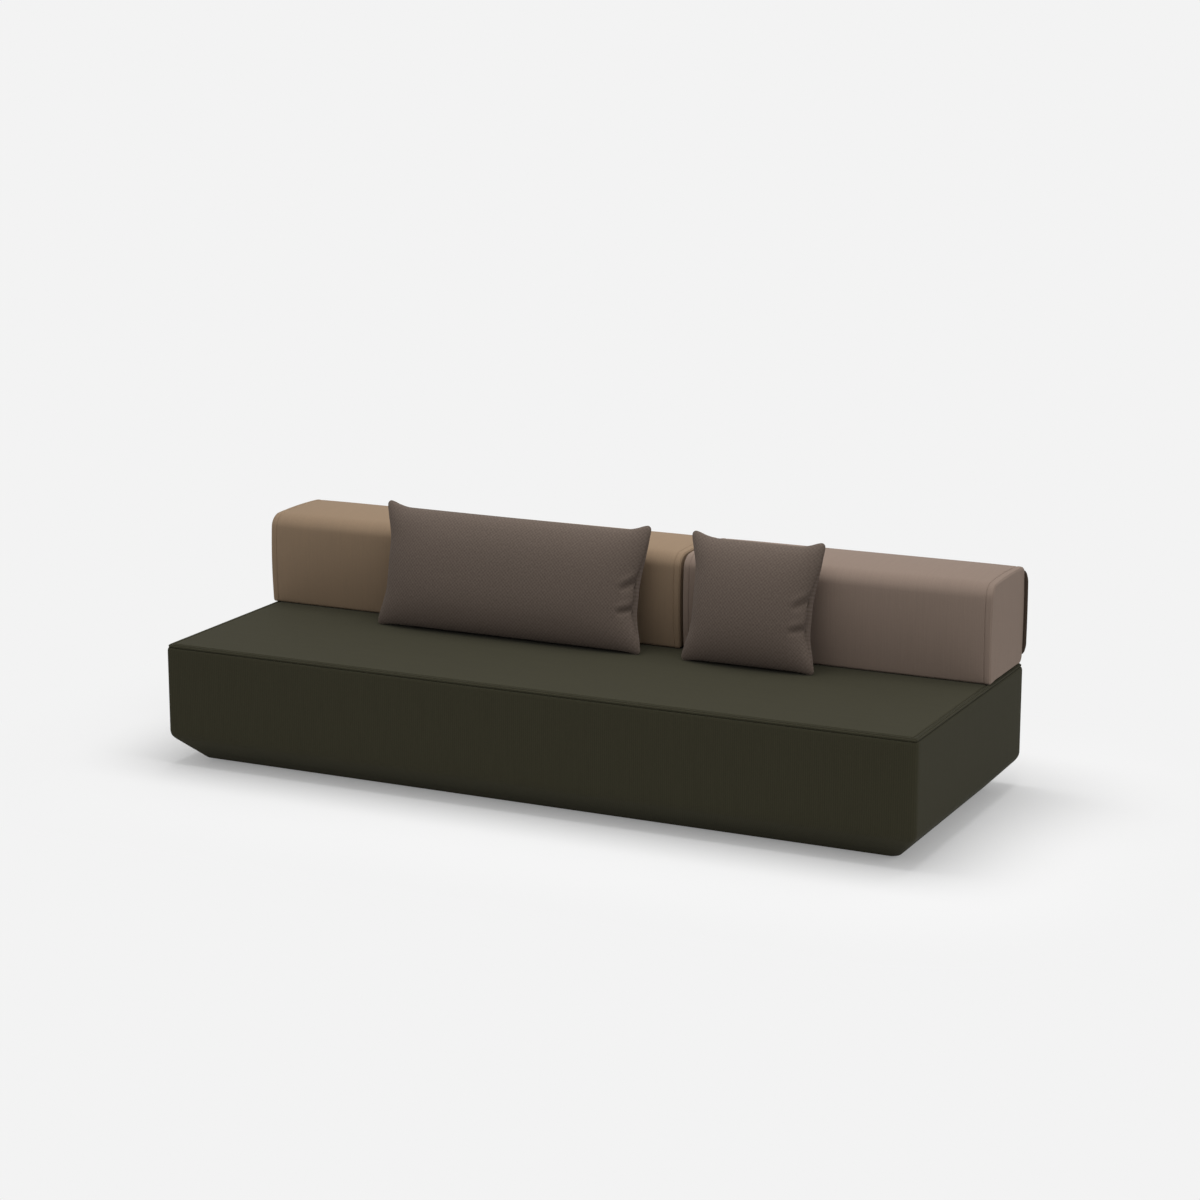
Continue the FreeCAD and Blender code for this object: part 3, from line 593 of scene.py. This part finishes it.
class BolsterForm:
    """Sizes of one bolster, read from its solids, and the rings of its cover."""

    def __init__(self, name):
        self.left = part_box(f"{name}_left_end_panel")[0].x
        self.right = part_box(f"{name}_right_end_panel")[1].x
        if name == "left_bolster":
            self.left -= OUTER_SWELL
            self.right += INNER_SWELL
        else:
            self.left -= INNER_SWELL
        low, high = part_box(f"{name}_sleeve")
        self.front = low.y
        self.rear = high.y
        self.bottom = low.z
        self.top = high.z
        self.middle_y = (self.front + self.rear) / 2
        self.middle_z = (self.bottom + self.top) / 2
        self.zip_low, self.zip_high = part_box(f"{name}_zip")
        self.zip_middle = (self.zip_low.z + self.zip_high.z) / 2
        self.zip_half = (self.zip_high.z - self.zip_low.z) / 2 + ZIP_ROOM
        self.zip_shares = self.rear_shares()

    def rear_shares(self):
        """How far up the rear side its rows lie, with rows at the edges of the zip's slot."""
        low = self.bottom + BOLSTER_BOTTOM_ROUND
        high = self.top - BOLSTER_TOP_SWELL - BOLSTER_REAR_ROUND
        rows = [self.zip_middle]
        for lip in (0.0, ZIP_LIP, 3 * ZIP_LIP):
            rows += [self.zip_middle - self.zip_half - lip, self.zip_middle + self.zip_half + lip]
        clear = self.zip_half + 5 * ZIP_LIP
        plain = [low + (high - low) * step / 16 for step in range(1, 16)]
        rows += [z for z in plain if abs(z - self.zip_middle) > clear]
        return [(z - low) / (high - low) for z in sorted(rows) if low < z < high]

    def ring(self, inset, x, sink_zip=False):
        """A closed outline across the bolster at x, drawn in by inset, from its rear bottom corner up."""
        share = min(max(min(x - self.left, self.right - x) / CROWN_RUN, 0.0), 1.0)
        crown = BOLSTER_TOP_SWELL * (END_CROWN + (1 - END_CROWN) * share * (2 - share))
        lift = ROW_TILT * x / BASE_RIGHT
        low_y = self.front + BOLSTER_SWELL + inset
        high_y = self.rear - BOLSTER_SWELL - inset
        low_z = self.bottom + inset
        high_z = self.top - BOLSTER_TOP_SWELL - inset
        rounds = (BOLSTER_BOTTOM_ROUND, BOLSTER_REAR_ROUND, BOLSTER_FRONT_ROUND, BOLSTER_FOOT_ROUND)
        places = ((high_y, low_z), (high_y, high_z), (low_y, high_z), (low_y, low_z))
        corners = []
        for (y, z), round_off in zip(places, rounds):
            radius = max(round_off - inset, BOLSTER_LEAST_ROUND)
            middle_y = y - math.copysign(radius, y - self.middle_y)
            middle_z = z - math.copysign(radius, z - self.middle_z)
            corners.append((Vector((middle_y, middle_z)), radius))
        outline = []
        for at, (middle, radius) in enumerate(corners):
            for step in range(9):
                turn = math.radians(90 * (at - 1 + step / 8))
                outline.append(middle + radius * Vector((math.cos(turn), math.sin(turn))))
            after, after_radius = corners[(at + 1) % 4]
            turn = math.radians(90 * at)
            end = after + after_radius * Vector((math.cos(turn), math.sin(turn)))
            shares = self.zip_shares if at == 0 else [step / 18 for step in range(1, 18)]
            outline += [outline[-1].lerp(end, share) for share in shares]
        half_y = (high_y - low_y) / 2
        half_z = (high_z - low_z) / 2
        for point in outline:
            across = (point.x - self.middle_y) / half_y
            up = (point.y - (high_z + low_z) / 2) / half_z
            point.x += BOLSTER_SWELL * across * (1 - up ** 2)
            point.y += max(up, 0.0) * (crown * (1 - across ** 2) + lift)
            if up < UNDERSIDE:
                point.y -= FOOT_LIP * min(max((abs(across) - LIP_START) / LIP_RUN, 0.0), 1.0)
            in_slot = across > REAR_SIDE and abs(point.y - self.zip_middle) < self.zip_half + ZIP_LIP / 2
            if sink_zip and in_slot:
                point.x -= ZIP_SINK
        outline.append(outline[0])
        return outline

    def end_steps(self):
        """(distance in from the end, inset) pairs from the sleeve's seam round the edge to the end face."""
        edge = END_DOME + END_EDGE_ROUND
        steps = []
        for step in range(13):
            share = step / 12
            swell = END_BAND_SWELL * math.sin(math.pi * share)
            dip = END_SEAM_DEPTH * math.exp(-(share * (END_SEAM - edge) / END_SEAM_WIDTH) ** 2)
            steps.append((END_SEAM + (edge - END_SEAM) * share, dip - swell))
        for step in range(1, 11):
            turn = math.pi / 2 * step / 10
            seam = FACE_SEAM_DEPTH * math.exp(-((turn - math.pi / 4) * END_EDGE_ROUND / FACE_SEAM_WIDTH) ** 2)
            reach = END_EDGE_ROUND - seam
            steps.append((edge - reach * math.sin(turn), END_EDGE_ROUND - reach * math.cos(turn)))
        return steps

    def end_face(self, end):
        """(distance in from the end, ring) pairs from the rim of the end face to its middle point."""
        rim = self.ring(END_EDGE_ROUND, end)
        middle = Vector((self.middle_y, self.middle_z))
        rows = [(END_DOME, rim)]
        for step in range(1, 13):
            share = (step / 12) ** 1.3
            rows.append((END_DOME * (1 - share) ** 2, [p.lerp(middle, share) for p in rim]))
        return rows


def bolster_stations(form):
    """(place along the bolster, inset) pairs from its left end to its right end."""
    sleeve_left = form.left + END_SEAM
    sleeve_right = form.right - END_SEAM
    seam_rows = [END_SEAM_WIDTH * share for share in (0.7, 1.3, 2.0, 3.0)]
    middle_left = sleeve_left + 5 * END_SEAM_WIDTH
    middle_right = sleeve_right - 5 * END_SEAM_WIDTH
    count = round((middle_right - middle_left) / BOLSTER_STEP)
    plain = [middle_left + (middle_right - middle_left) * step / count for step in range(count + 1)]
    slot_left = form.zip_low.x - ZIP_ROOM
    slot_right = form.zip_high.x + ZIP_ROOM
    slot_rows = [slot_left - ZIP_LIP, slot_left, slot_right, slot_right + ZIP_LIP]
    plain = [x for x in plain if min(abs(x - row) for row in slot_rows) > 2 * ZIP_LIP]
    rows = plain + slot_rows
    for row in seam_rows:
        rows += [sleeve_left + row, sleeve_right - row]
    stations = [(form.left + back, inset) for back, inset in form.end_steps()[::-1]]
    for x in sorted(rows):
        seam = min(x - sleeve_left, sleeve_right - x)
        stations.append((x, END_SEAM_DEPTH * math.exp(-(seam / END_SEAM_WIDTH) ** 2)))
    return stations + [(form.right - back, inset) for back, inset in form.end_steps()]


def bolster_cover(name, slot, cloth):
    """Sleeve and both end panels of one bolster as one sewn cover, with a slot for the zip behind."""
    form = BolsterForm(name)
    slot_left = form.zip_low.x - ZIP_ROOM - ZIP_LIP / 2
    slot_right = form.zip_high.x + ZIP_ROOM + ZIP_LIP / 2
    runs = runs_along(form.ring(0.0, (form.left + form.right) / 2))
    grid = []
    for x, inset in bolster_stations(form):
        ring = form.ring(inset, x, slot_left < x < slot_right)
        grid.append([((x, p.x, p.y), (x, run)) for p, run in zip(ring, runs)])
    faces = []
    for end, inward in ((form.left, 1), (form.right, -1)):
        rows = form.end_face(end + inward * END_DOME)
        faces.append([[((end + inward * back, p.x, p.y), (p.x, p.y)) for p in ring] for back, ring in rows])
    piece = sew(f"{name}_cover", grid, *faces)
    nodes = [f"{name}_{part}" for part in ("sleeve", "left_end_panel", "right_end_panel", "core")]
    finish_piece(piece, name, slot, cloth, *nodes, fill=0.9)
    for end, x in (("left", form.left + END_SEAM), ("right", form.right - END_SEAM)):
        path = [Vector((x, p.x, p.y)) for p in form.ring(END_SEAM_DEPTH - THREAD, x)]
        stitch_row(f"{name}_{end}_stitching", path, name, slot, cloth)


def rear_flange(name, slot, cloth, end):
    """Folded seam flange along the rear upright edge of a bolster's right end, in darker cloth that paints the
    shade there.
    """
    form = BolsterForm(name)
    low = form.bottom + BOLSTER_BOTTOM_ROUND
    high = form.top - BOLSTER_TOP_SWELL - BOLSTER_REAR_ROUND / 2
    root = end - END_DOME - END_EDGE_ROUND
    grid = []
    for step in range(FLANGE_STEPS + 1):
        share = step / FLANGE_STEPS
        z = low + (high - low) * share
        y = form.rear - BOLSTER_SWELL - FLANGE_INSET + BOLSTER_SWELL / 2 * (1 - (2 * share - 1) ** 2)
        reach = FLANGE_REACH * math.sqrt(min(1.0, FLANGE_FADE * share, FLANGE_FADE * (1 - share)))
        tip = end + reach - END_DOME
        fold = ((root, 0.0), (tip, 0.0), (tip + FLANGE_THICK / 3, FLANGE_THICK / 2), (tip, FLANGE_THICK),
                (root, FLANGE_THICK), (root, 0.0))
        grid.append([((x, y + back, z), (x, z)) for x, back in fold])
    piece = sew(f"{name}_flange", grid)
    finish_piece(piece, name, slot, cloth)


class CushionForm:
    """One cushion: two panels cut flat, sewn round, filled, and leaned on its bolster."""

    def __init__(self, name):
        low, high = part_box(f"{name}_welt")
        self.name = name
        self.middle = (low + high) / 2
        self.width = high.x - low.x + 2 * EAR_REACH
        rise = high.z - low.z - 2 * PIPING
        self.height = rise / math.cos(CUSHION_LEAN)
        self.turn = Matrix.Rotation(-CUSHION_LEAN, 3, "X")
        self.across = self.spacing(self.width)
        self.up = self.spacing(self.height)
        self.fullness = CROWN_FULLNESS + LONG_FULLNESS * (self.width / self.height - 1)

    def spacing(self, length):
        """Places of the rows over a panel from -1 to 1, closer together towards the seams."""
        count = 2 * round(length / CUSHION_STEP / 2)
        places = [2 * step / count - 1 for step in range(count + 1)]
        return [math.copysign(1 - (1 - abs(place)) ** ROW_CLOSENESS, place) for place in places]

    def cut(self):
        """The two panels as points and faces that share their sewn edge, with their thread places.

        They are drawn already filled out: sewn edges drawn in between the corners, plump shoulders.
        """
        points = []
        faces = []
        threads = []
        index = {}
        columns = len(self.across) - 1
        rows = len(self.up) - 1
        for side in (-1, 1):
            for row in range(rows + 1):
                for column in range(columns + 1):
                    sewn = column in (0, columns) or row in (0, rows)
                    layer = 0 if sewn else side
                    if (column, row, layer) not in index:
                        index[(column, row, layer)] = len(points)
                        points.append(self.filled_out(self.across[column], self.up[row], layer))
            for row in range(rows):
                for column in range(columns):
                    corners = ((column, row), (column + 1, row), (column + 1, row + 1), (column, row + 1))
                    if side > 0:
                        corners = corners[::-1]
                    faces.append([index.get((c, r, 0), index.get((c, r, side))) for c, r in corners])
                    threads.append([(self.across[c] * self.width / 2, self.up[r] * self.height / 2)
                                    for c, r in corners])
        edge = [index[(c, 0, 0)] for c in range(columns)]
        edge += [index[(columns, r, 0)] for r in range(rows)]
        edge += [index[(c, rows, 0)] for c in range(columns, 0, -1)]
        edge += [index[(0, r, 0)] for r in range(rows, 0, -1)]
        return points, faces, threads, edge

    def filled_out(self, u, v, layer):
        """Place of a point of the front (-1), the seam (0) or the back (1) before the cloth settles."""
        x, z = self.eased(u * self.width / 2, v * self.height / 2)
        upright = (TOP_SAG if v > 0 else FOOT_DRAW) + (0.0 if layer else SEAM_SINK)
        z -= math.copysign(v * v, v) * upright * self.drawn(u, self.width, TOP_EAR)
        sideways = {-1: FRONT_DRAW, 0: SEAM_DRAW, 1: BACK_DRAW}[layer] * (RIGHT_DRAW if u > 0 else 1.0)
        ear = RIGHT_TOP_EAR if u > 0 and v > 0 else SIDE_EAR
        x -= math.copysign(u * u, u) * sideways * self.drawn(v, self.height, ear)
        level = min(max(v + CROWN_DROP * (1 - v * v), -1.0), 1.0)
        rise = math.sqrt((1 - abs(u) ** self.fullness) * (1 - abs(level) ** CROWN_FULLNESS))
        return Vector((x, layer * CUSHION_CROWN * rise, z))

    def drawn(self, along, length, ear):
        """Share of the draw-in at a place along a side: none at the blunt tip of an ear, all past the ear."""
        share = ((1 - abs(along)) * length / 2 - EAR_TIP) / ear
        share = min(max(share, 0.0), 1.0)
        return share * share * (3 - 2 * share)

    def eased(self, x, z):
        """Rounds the cut corners of a panel to a small blunt tip."""
        a = abs(x) - (self.width / 2 - CUSHION_CORNER)
        b = abs(z) - (self.height / 2 - CUSHION_CORNER)
        if a <= 0 or b <= 0:
            return x, z
        eased_a = a * math.sqrt(1 - (b / CUSHION_CORNER) ** 2 / 2)
        eased_b = b * math.sqrt(1 - (a / CUSHION_CORNER) ** 2 / 2)
        return (math.copysign(self.width / 2 - CUSHION_CORNER + eased_a, x),
                math.copysign(self.height / 2 - CUSHION_CORNER + eased_b, z))

    def settled(self, points, faces, edge):
        """Where the points lie once the fill presses on the panels, held by their seam."""
        mesh = bpy.data.meshes.new("cushion_fill")
        mesh.from_pydata(points, [], faces)
        pad = linked("cushion_fill", mesh)
        pad.vertex_groups.new(name="seam").add(edge, 1.0, "REPLACE")
        cloth = pad.modifiers.new("fill", "CLOTH")
        cloth.settings.quality = 6
        cloth.settings.mass = 0.3
        cloth.settings.tension_stiffness = 30
        cloth.settings.compression_stiffness = 30
        cloth.settings.shear_stiffness = 15
        cloth.settings.bending_stiffness = 15
        cloth.settings.tension_damping = 10
        cloth.settings.compression_damping = 10
        cloth.settings.air_damping = 5
        cloth.settings.vertex_group_mass = "seam"
        cloth.settings.use_pressure = True
        cloth.settings.uniform_pressure_force = CUSHION_PRESSURE
        cloth.settings.effector_weights.gravity = 0
        cloth.collision_settings.use_collision = False
        cloth.point_cache.frame_start = 1
        cloth.point_cache.frame_end = CUSHION_FRAMES
        for step in range(1, CUSHION_FRAMES + 1):
            bpy.context.scene.frame_set(step)
        done = pad.evaluated_get(bpy.context.evaluated_depsgraph_get())
        moved = []
        for before, vertex in zip(points, done.data.vertices):
            shift = vertex.co - before
            moved.append(before + shift * min(CUSHION_CAP / max(shift.length, CUSHION_CAP), 1.0))
        bpy.data.objects.remove(pad)
        bpy.context.scene.frame_set(1)
        return moved

    def fitted(self, points):
        """Scales the filled form to the cushion's own width, height and crown."""
        reach = [max(abs(p[axis]) for p in points) for axis in range(3)]
        size = (self.width / 2, CUSHION_CROWN, self.height / 2)
        for p in points:
            for axis in range(3):
                p[axis] *= size[axis] / reach[axis]
        return points

    def place(self, p):
        """From the cushion's own flat lie to its place on the seat."""
        return self.middle + self.turn @ p

    def own(self, p):
        """From the room to the cushion's own flat lie."""
        return self.turn.inverted() @ (Vector(p) - self.middle)


def pinch_creases(form, p):
    """Moves a point of the front panel into the two pinches that run in and down from the right seam."""
    for level, slope in zip(PINCH_LEVELS, PINCH_SLOPES):
        start = Vector((form.width / 2 - FRONT_DRAW * RIGHT_DRAW, level * form.height))
        along = Vector((-math.cos(slope), -math.sin(slope)))
        offset = Vector((p.x, p.z)) - start
        run = offset.dot(along) / PINCH_REACH
        off = offset.dot(Vector((along.y, -along.x))) / PINCH_WIDTH
        if PINCH_START < run < 1:
            fade = 1 - max(run, 0.0) ** 2
            ridge = RIDGE_SHARE * math.exp(-((off - RIDGE_OFFSET) / RIDGE_WIDTH) ** 2)
            p.x -= fade * PINCH_SINK * math.exp(-(off / SINK_SPREAD) ** 2)
            p.y += fade * PINCH_DEPTH * (math.exp(-off ** 2) - ridge)


def zip_bed(form):
    """Plane under the zip in the cushion's own lie: level, slope, middle height; then the zip's corners."""
    solid = bpy.data.objects[f"{form.name}_zip"]
    spots = [form.own(vertex.co) for vertex in solid.data.vertices]
    mean_y = sum(s.y for s in spots) / len(spots)
    mean_z = sum(s.z for s in spots) / len(spots)
    spread = sum((s.z - mean_z) ** 2 for s in spots)
    slope = sum((s.z - mean_z) * (s.y - mean_y) for s in spots) / spread
    inner = min(s.y - slope * (s.z - mean_z) for s in spots)
    low = Vector((min(s.x for s in spots), min(s.z for s in spots)))
    high = Vector((max(s.x for s in spots), max(s.z for s in spots)))
    return inner, slope, mean_z, low, high


def hold_seam(mesh, edge):
    """Keeps the sewn edge sharp where the panels are smoothed."""
    sewn = {frozenset(pair) for pair in zip(edge, edge[1:] + edge[:1])}
    crease = mesh.attributes.new("crease_edge", "FLOAT", "EDGE")
    for line in mesh.edges:
        crease.data[line.index].value = 1.0 if frozenset(line.vertices) in sewn else 0.0


def smoothed(name, points, faces, threads, edge):
    """Mesh of both panels, smoothed once with the sewn edge kept sharp."""
    mesh = bpy.data.meshes.new(f"{name}_panels")
    mesh.from_pydata(points, [], faces)
    weave = mesh.uv_layers.new(name="weave")
    for face, marks in zip(mesh.polygons, threads):
        face.use_smooth = True
        for loop, mark in zip(face.loop_indices, marks):
            weave.data[loop].uv = mark
    hold_seam(mesh, edge)
    panels = linked(f"{name}_panels", mesh)
    smooth = panels.modifiers.new("smooth", "SUBSURF")
    smooth.levels = 1
    done = panels.evaluated_get(bpy.context.evaluated_depsgraph_get())
    cover = bpy.data.meshes.new_from_object(done)
    bpy.data.objects.remove(panels)
    return cover


def cushion(name, bolster):
    """Cover and piping of one cushion."""
    form = CushionForm(name)
    points, faces, threads, edge = form.cut()
    points = form.fitted(form.settled(points, faces, edge))
    mesh = smoothed(name, points, faces, threads, edge)
    inner, slope, mean_z, zip_low, zip_high = zip_bed(form)
    bolster_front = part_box(f"{bolster}_sleeve")[0].y
    bolster_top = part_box(f"{bolster}_sleeve")[1].z
    for vertex in mesh.vertices:
        p = vertex.co.copy()
        if p.y < 0:
            pinch_creases(form, p)
        else:
            off_x = max(zip_low.x - p.x, p.x - zip_high.x, 0.0)
            off_z = max(zip_low.y - p.z, p.z - zip_high.y, 0.0)
            hold = max(1 - math.hypot(off_x, off_z) / ZIP_HOLD, 0.0)
            hold = hold * hold * (3 - 2 * hold)
            bed = inner + slope * (p.z - mean_z) - RESTING_GAP
            p.y += (bed - p.y) * hold
        p = form.place(p)
        p.z = max(p.z, SEAT_TOP + RESTING_GAP)
        slack = max(p.z - (bolster_top - BOLSTER_SHOULDER), 0.0)
        p.y = min(p.y, bolster_front - RESTING_GAP + slack)
        vertex.co = p
    piece = linked(f"{name}_cover", mesh)
    nodes = [f"{name}_{part}" for part in ("front_panel", "back_panel", "fill")]
    finish_piece(piece, name, "mauve_weave", mauve_cloth, *nodes, fill=0.7)
    piping(name, [mesh.vertices[at].co.copy() for at in edge])


def piping(name, seam):
    """Corded piping sewn into a cushion's seam."""
    sides = 8
    count = len(seam)
    runs = runs_along(seam + [seam[0]])
    middle = sum(seam, Vector()) / count
    grid = []
    for at in range(count + 1):
        here = seam[at % count]
        along = (seam[(at + 1) % count] - seam[at - 1 if at < count else -1]).normalized()
        out = here - middle
        out = (out - along * out.dot(along)).normalized()
        third = along.cross(out)
        ring = []
        for side in range(sides + 1):
            turn = 2 * math.pi * side / sides
            spread = out * math.cos(turn) + third * math.sin(turn)
            spot = here + spread * PIPING
            spot.z = max(spot.z, SEAT_TOP + RESTING_GAP)
            ring.append((spot, (runs[at], PIPING * turn)))
        grid.append(ring)
    piece = sew(f"{name}_piping", grid)
    finish_piece(piece, name, "mauve_weave", mauve_cloth, f"{name}_welt")


def seen_directly(tree):
    """Node that is 1 for what is seen straight, mirrored or through glass, and 0 for light that falls."""
    path = node(tree, "ShaderNodeLightPath")
    glossy = node(tree, "ShaderNodeMath", {0: (path, "Is Camera Ray"), 1: (path, "Is Glossy Ray")},
                  operation="MAXIMUM")
    return node(tree, "ShaderNodeMath", {0: (glossy, "Value"), 1: (path, "Is Transmission Ray")},
                operation="MAXIMUM")


def studio_floor():
    """Seamless paper sweep: a matte pale floor that keeps the soft shadow and fades into the backdrop."""
    made, tree, shader = new_material("matte_paper_sweep")
    tree.nodes.remove(shader)
    place = node(tree, "ShaderNodeTexCoord")
    spread = node(tree, "ShaderNodeVectorMath", {0: (place, "Object")}, operation="ABSOLUTE")
    beyond = node(tree, "ShaderNodeVectorMath", {0: (spread, "Vector"), 1: (BASE_RIGHT, BASE_BACK, 1.0)},
                  operation="SUBTRACT")
    outside = node(tree, "ShaderNodeVectorMath", {0: (beyond, "Vector"), 1: (0.0, 0.0, 0.0)},
                   operation="MAXIMUM")
    away = node(tree, "ShaderNodeVectorMath", {0: (outside, "Vector")}, operation="LENGTH")
    fade = node(tree, "ShaderNodeMapRange", {"Value": (away, "Value"), "From Min": FLOOR_FADE_START,
                                             "From Max": FLOOR_FADE_END, "To Min": FLOOR_FADE_LEAST},
                interpolation_type="SMOOTHSTEP")
    fibres = node(tree, "ShaderNodeTexNoise", {"Vector": (place, "Object"), "Scale": 1 / PAPER_FIBRE,
                                               "Detail": 2.0})
    tooth = node(tree, "ShaderNodeBump", {"Height": (fibres, "Fac"), "Strength": 0.05, "Distance": 0.0002})
    paper = node(tree, "ShaderNodeBsdfDiffuse", {"Color": linear(PALE_GREY), "Normal": (tooth, "Normal")})
    plain = node(tree, "ShaderNodeEmission", {"Color": linear(PALE_GREY), "Strength": 1.0})
    seen = node(tree, "ShaderNodeMixShader", {0: (fade, "Result"), 1: (paper, "BSDF"),
                                              2: (plain, "Emission")})
    bounce = node(tree, "ShaderNodeBsdfDiffuse", {"Color": linear(FLOOR_BOUNCE)})
    mixed = node(tree, "ShaderNodeMixShader", {0: (seen_directly(tree), "Value"), 1: (bounce, "BSDF"),
                                               2: (seen, "Shader")})
    tree.links.new(mixed.outputs["Shader"], tree.nodes["Material Output"].inputs["Surface"])
    mesh = bpy.data.meshes.new("studio_floor")
    corners = [(x * FLOOR_REACH, y * FLOOR_REACH, 0.0) for x, y in ((-1, -1), (1, -1), (1, 1), (-1, 1))]
    mesh.from_pydata(corners, [], [(0, 1, 2, 3)])
    mesh.materials.append(made)
    floor = linked("studio_floor", mesh)


def backdrop():
    """World light: a soft even fill, seen as the same pale grey as the floor."""
    world = bpy.data.worlds.new("studio_backdrop")
    bpy.context.scene.world = world
    world.use_nodes = True
    tree = world.node_tree
    tree.nodes.clear()
    fill = node(tree, "ShaderNodeBackground", {"Color": linear("ffffff"), "Strength": FILL_LIGHT})
    seen = node(tree, "ShaderNodeBackground", {"Color": linear(PALE_GREY), "Strength": 1.0})
    mixed = node(tree, "ShaderNodeMixShader", {0: (seen_directly(tree), "Value"), 1: (fill, "Background"),
                                               2: (seen, "Background")})
    node(tree, "ShaderNodeOutputWorld", {"Surface": (mixed, "Shader")})


def softbox(name, place, aim, width, depth, power):
    """A rectangular soft lamp that faces a point."""
    lamp = bpy.data.lights.new(name, "AREA")
    lamp.shape = "RECTANGLE"
    lamp.size = width
    lamp.size_y = depth
    lamp.energy = power
    holder = linked(name, lamp)
    holder.location = place
    holder.rotation_euler = (Vector(aim) - Vector(place)).to_track_quat("-Z", "Y").to_euler()


def lights():
    """A large softbox overhead and a weak one to the right, which lifts the ends that face it."""
    softbox("overhead_softbox", (0.0, 0.1, 3.4), (0.0, 0.0, 0.3), width=3.6, depth=2.2, power=80)
    softbox("right_softbox", (4.2, -1.0, 1.8), (0.6, 0.0, 0.3), width=1.6, depth=1.6, power=15)


def camera():
    """Stands where the photograph was taken from, by the fit to the base's edges."""
    lens = bpy.data.cameras.new("camera")
    lens.lens = 91.30
    lens.sensor_width = 36.0
    holder = linked("camera", lens)
    holder.location = (3.840, -7.903, 2.634)
    holder.rotation_euler = Euler((math.radians(76.579), 0.0, math.radians(25.713)))
    bpy.context.scene.camera = holder


dress_solids()
base_side_cover()
seat_top_cover()
seat_topstitching()
bolster_cover("left_bolster", "tan_weave", tan_cloth)
bolster_cover("right_bolster", "taupe_weave", taupe_cloth)
# The flange's darker cloth is painted shade along the right bolster's rear edge
rear_flange("right_bolster", "taupe_weave", painted_shade_taupe_cloth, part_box("right_bolster_right_end_panel")[1].x)
cushion("long_cushion", "left_bolster")
cushion("square_cushion", "right_bolster")
studio_floor()
backdrop()
lights()
camera()
bpy.context.scene.view_settings.view_transform = "Standard"
bpy.context.view_layer.update()
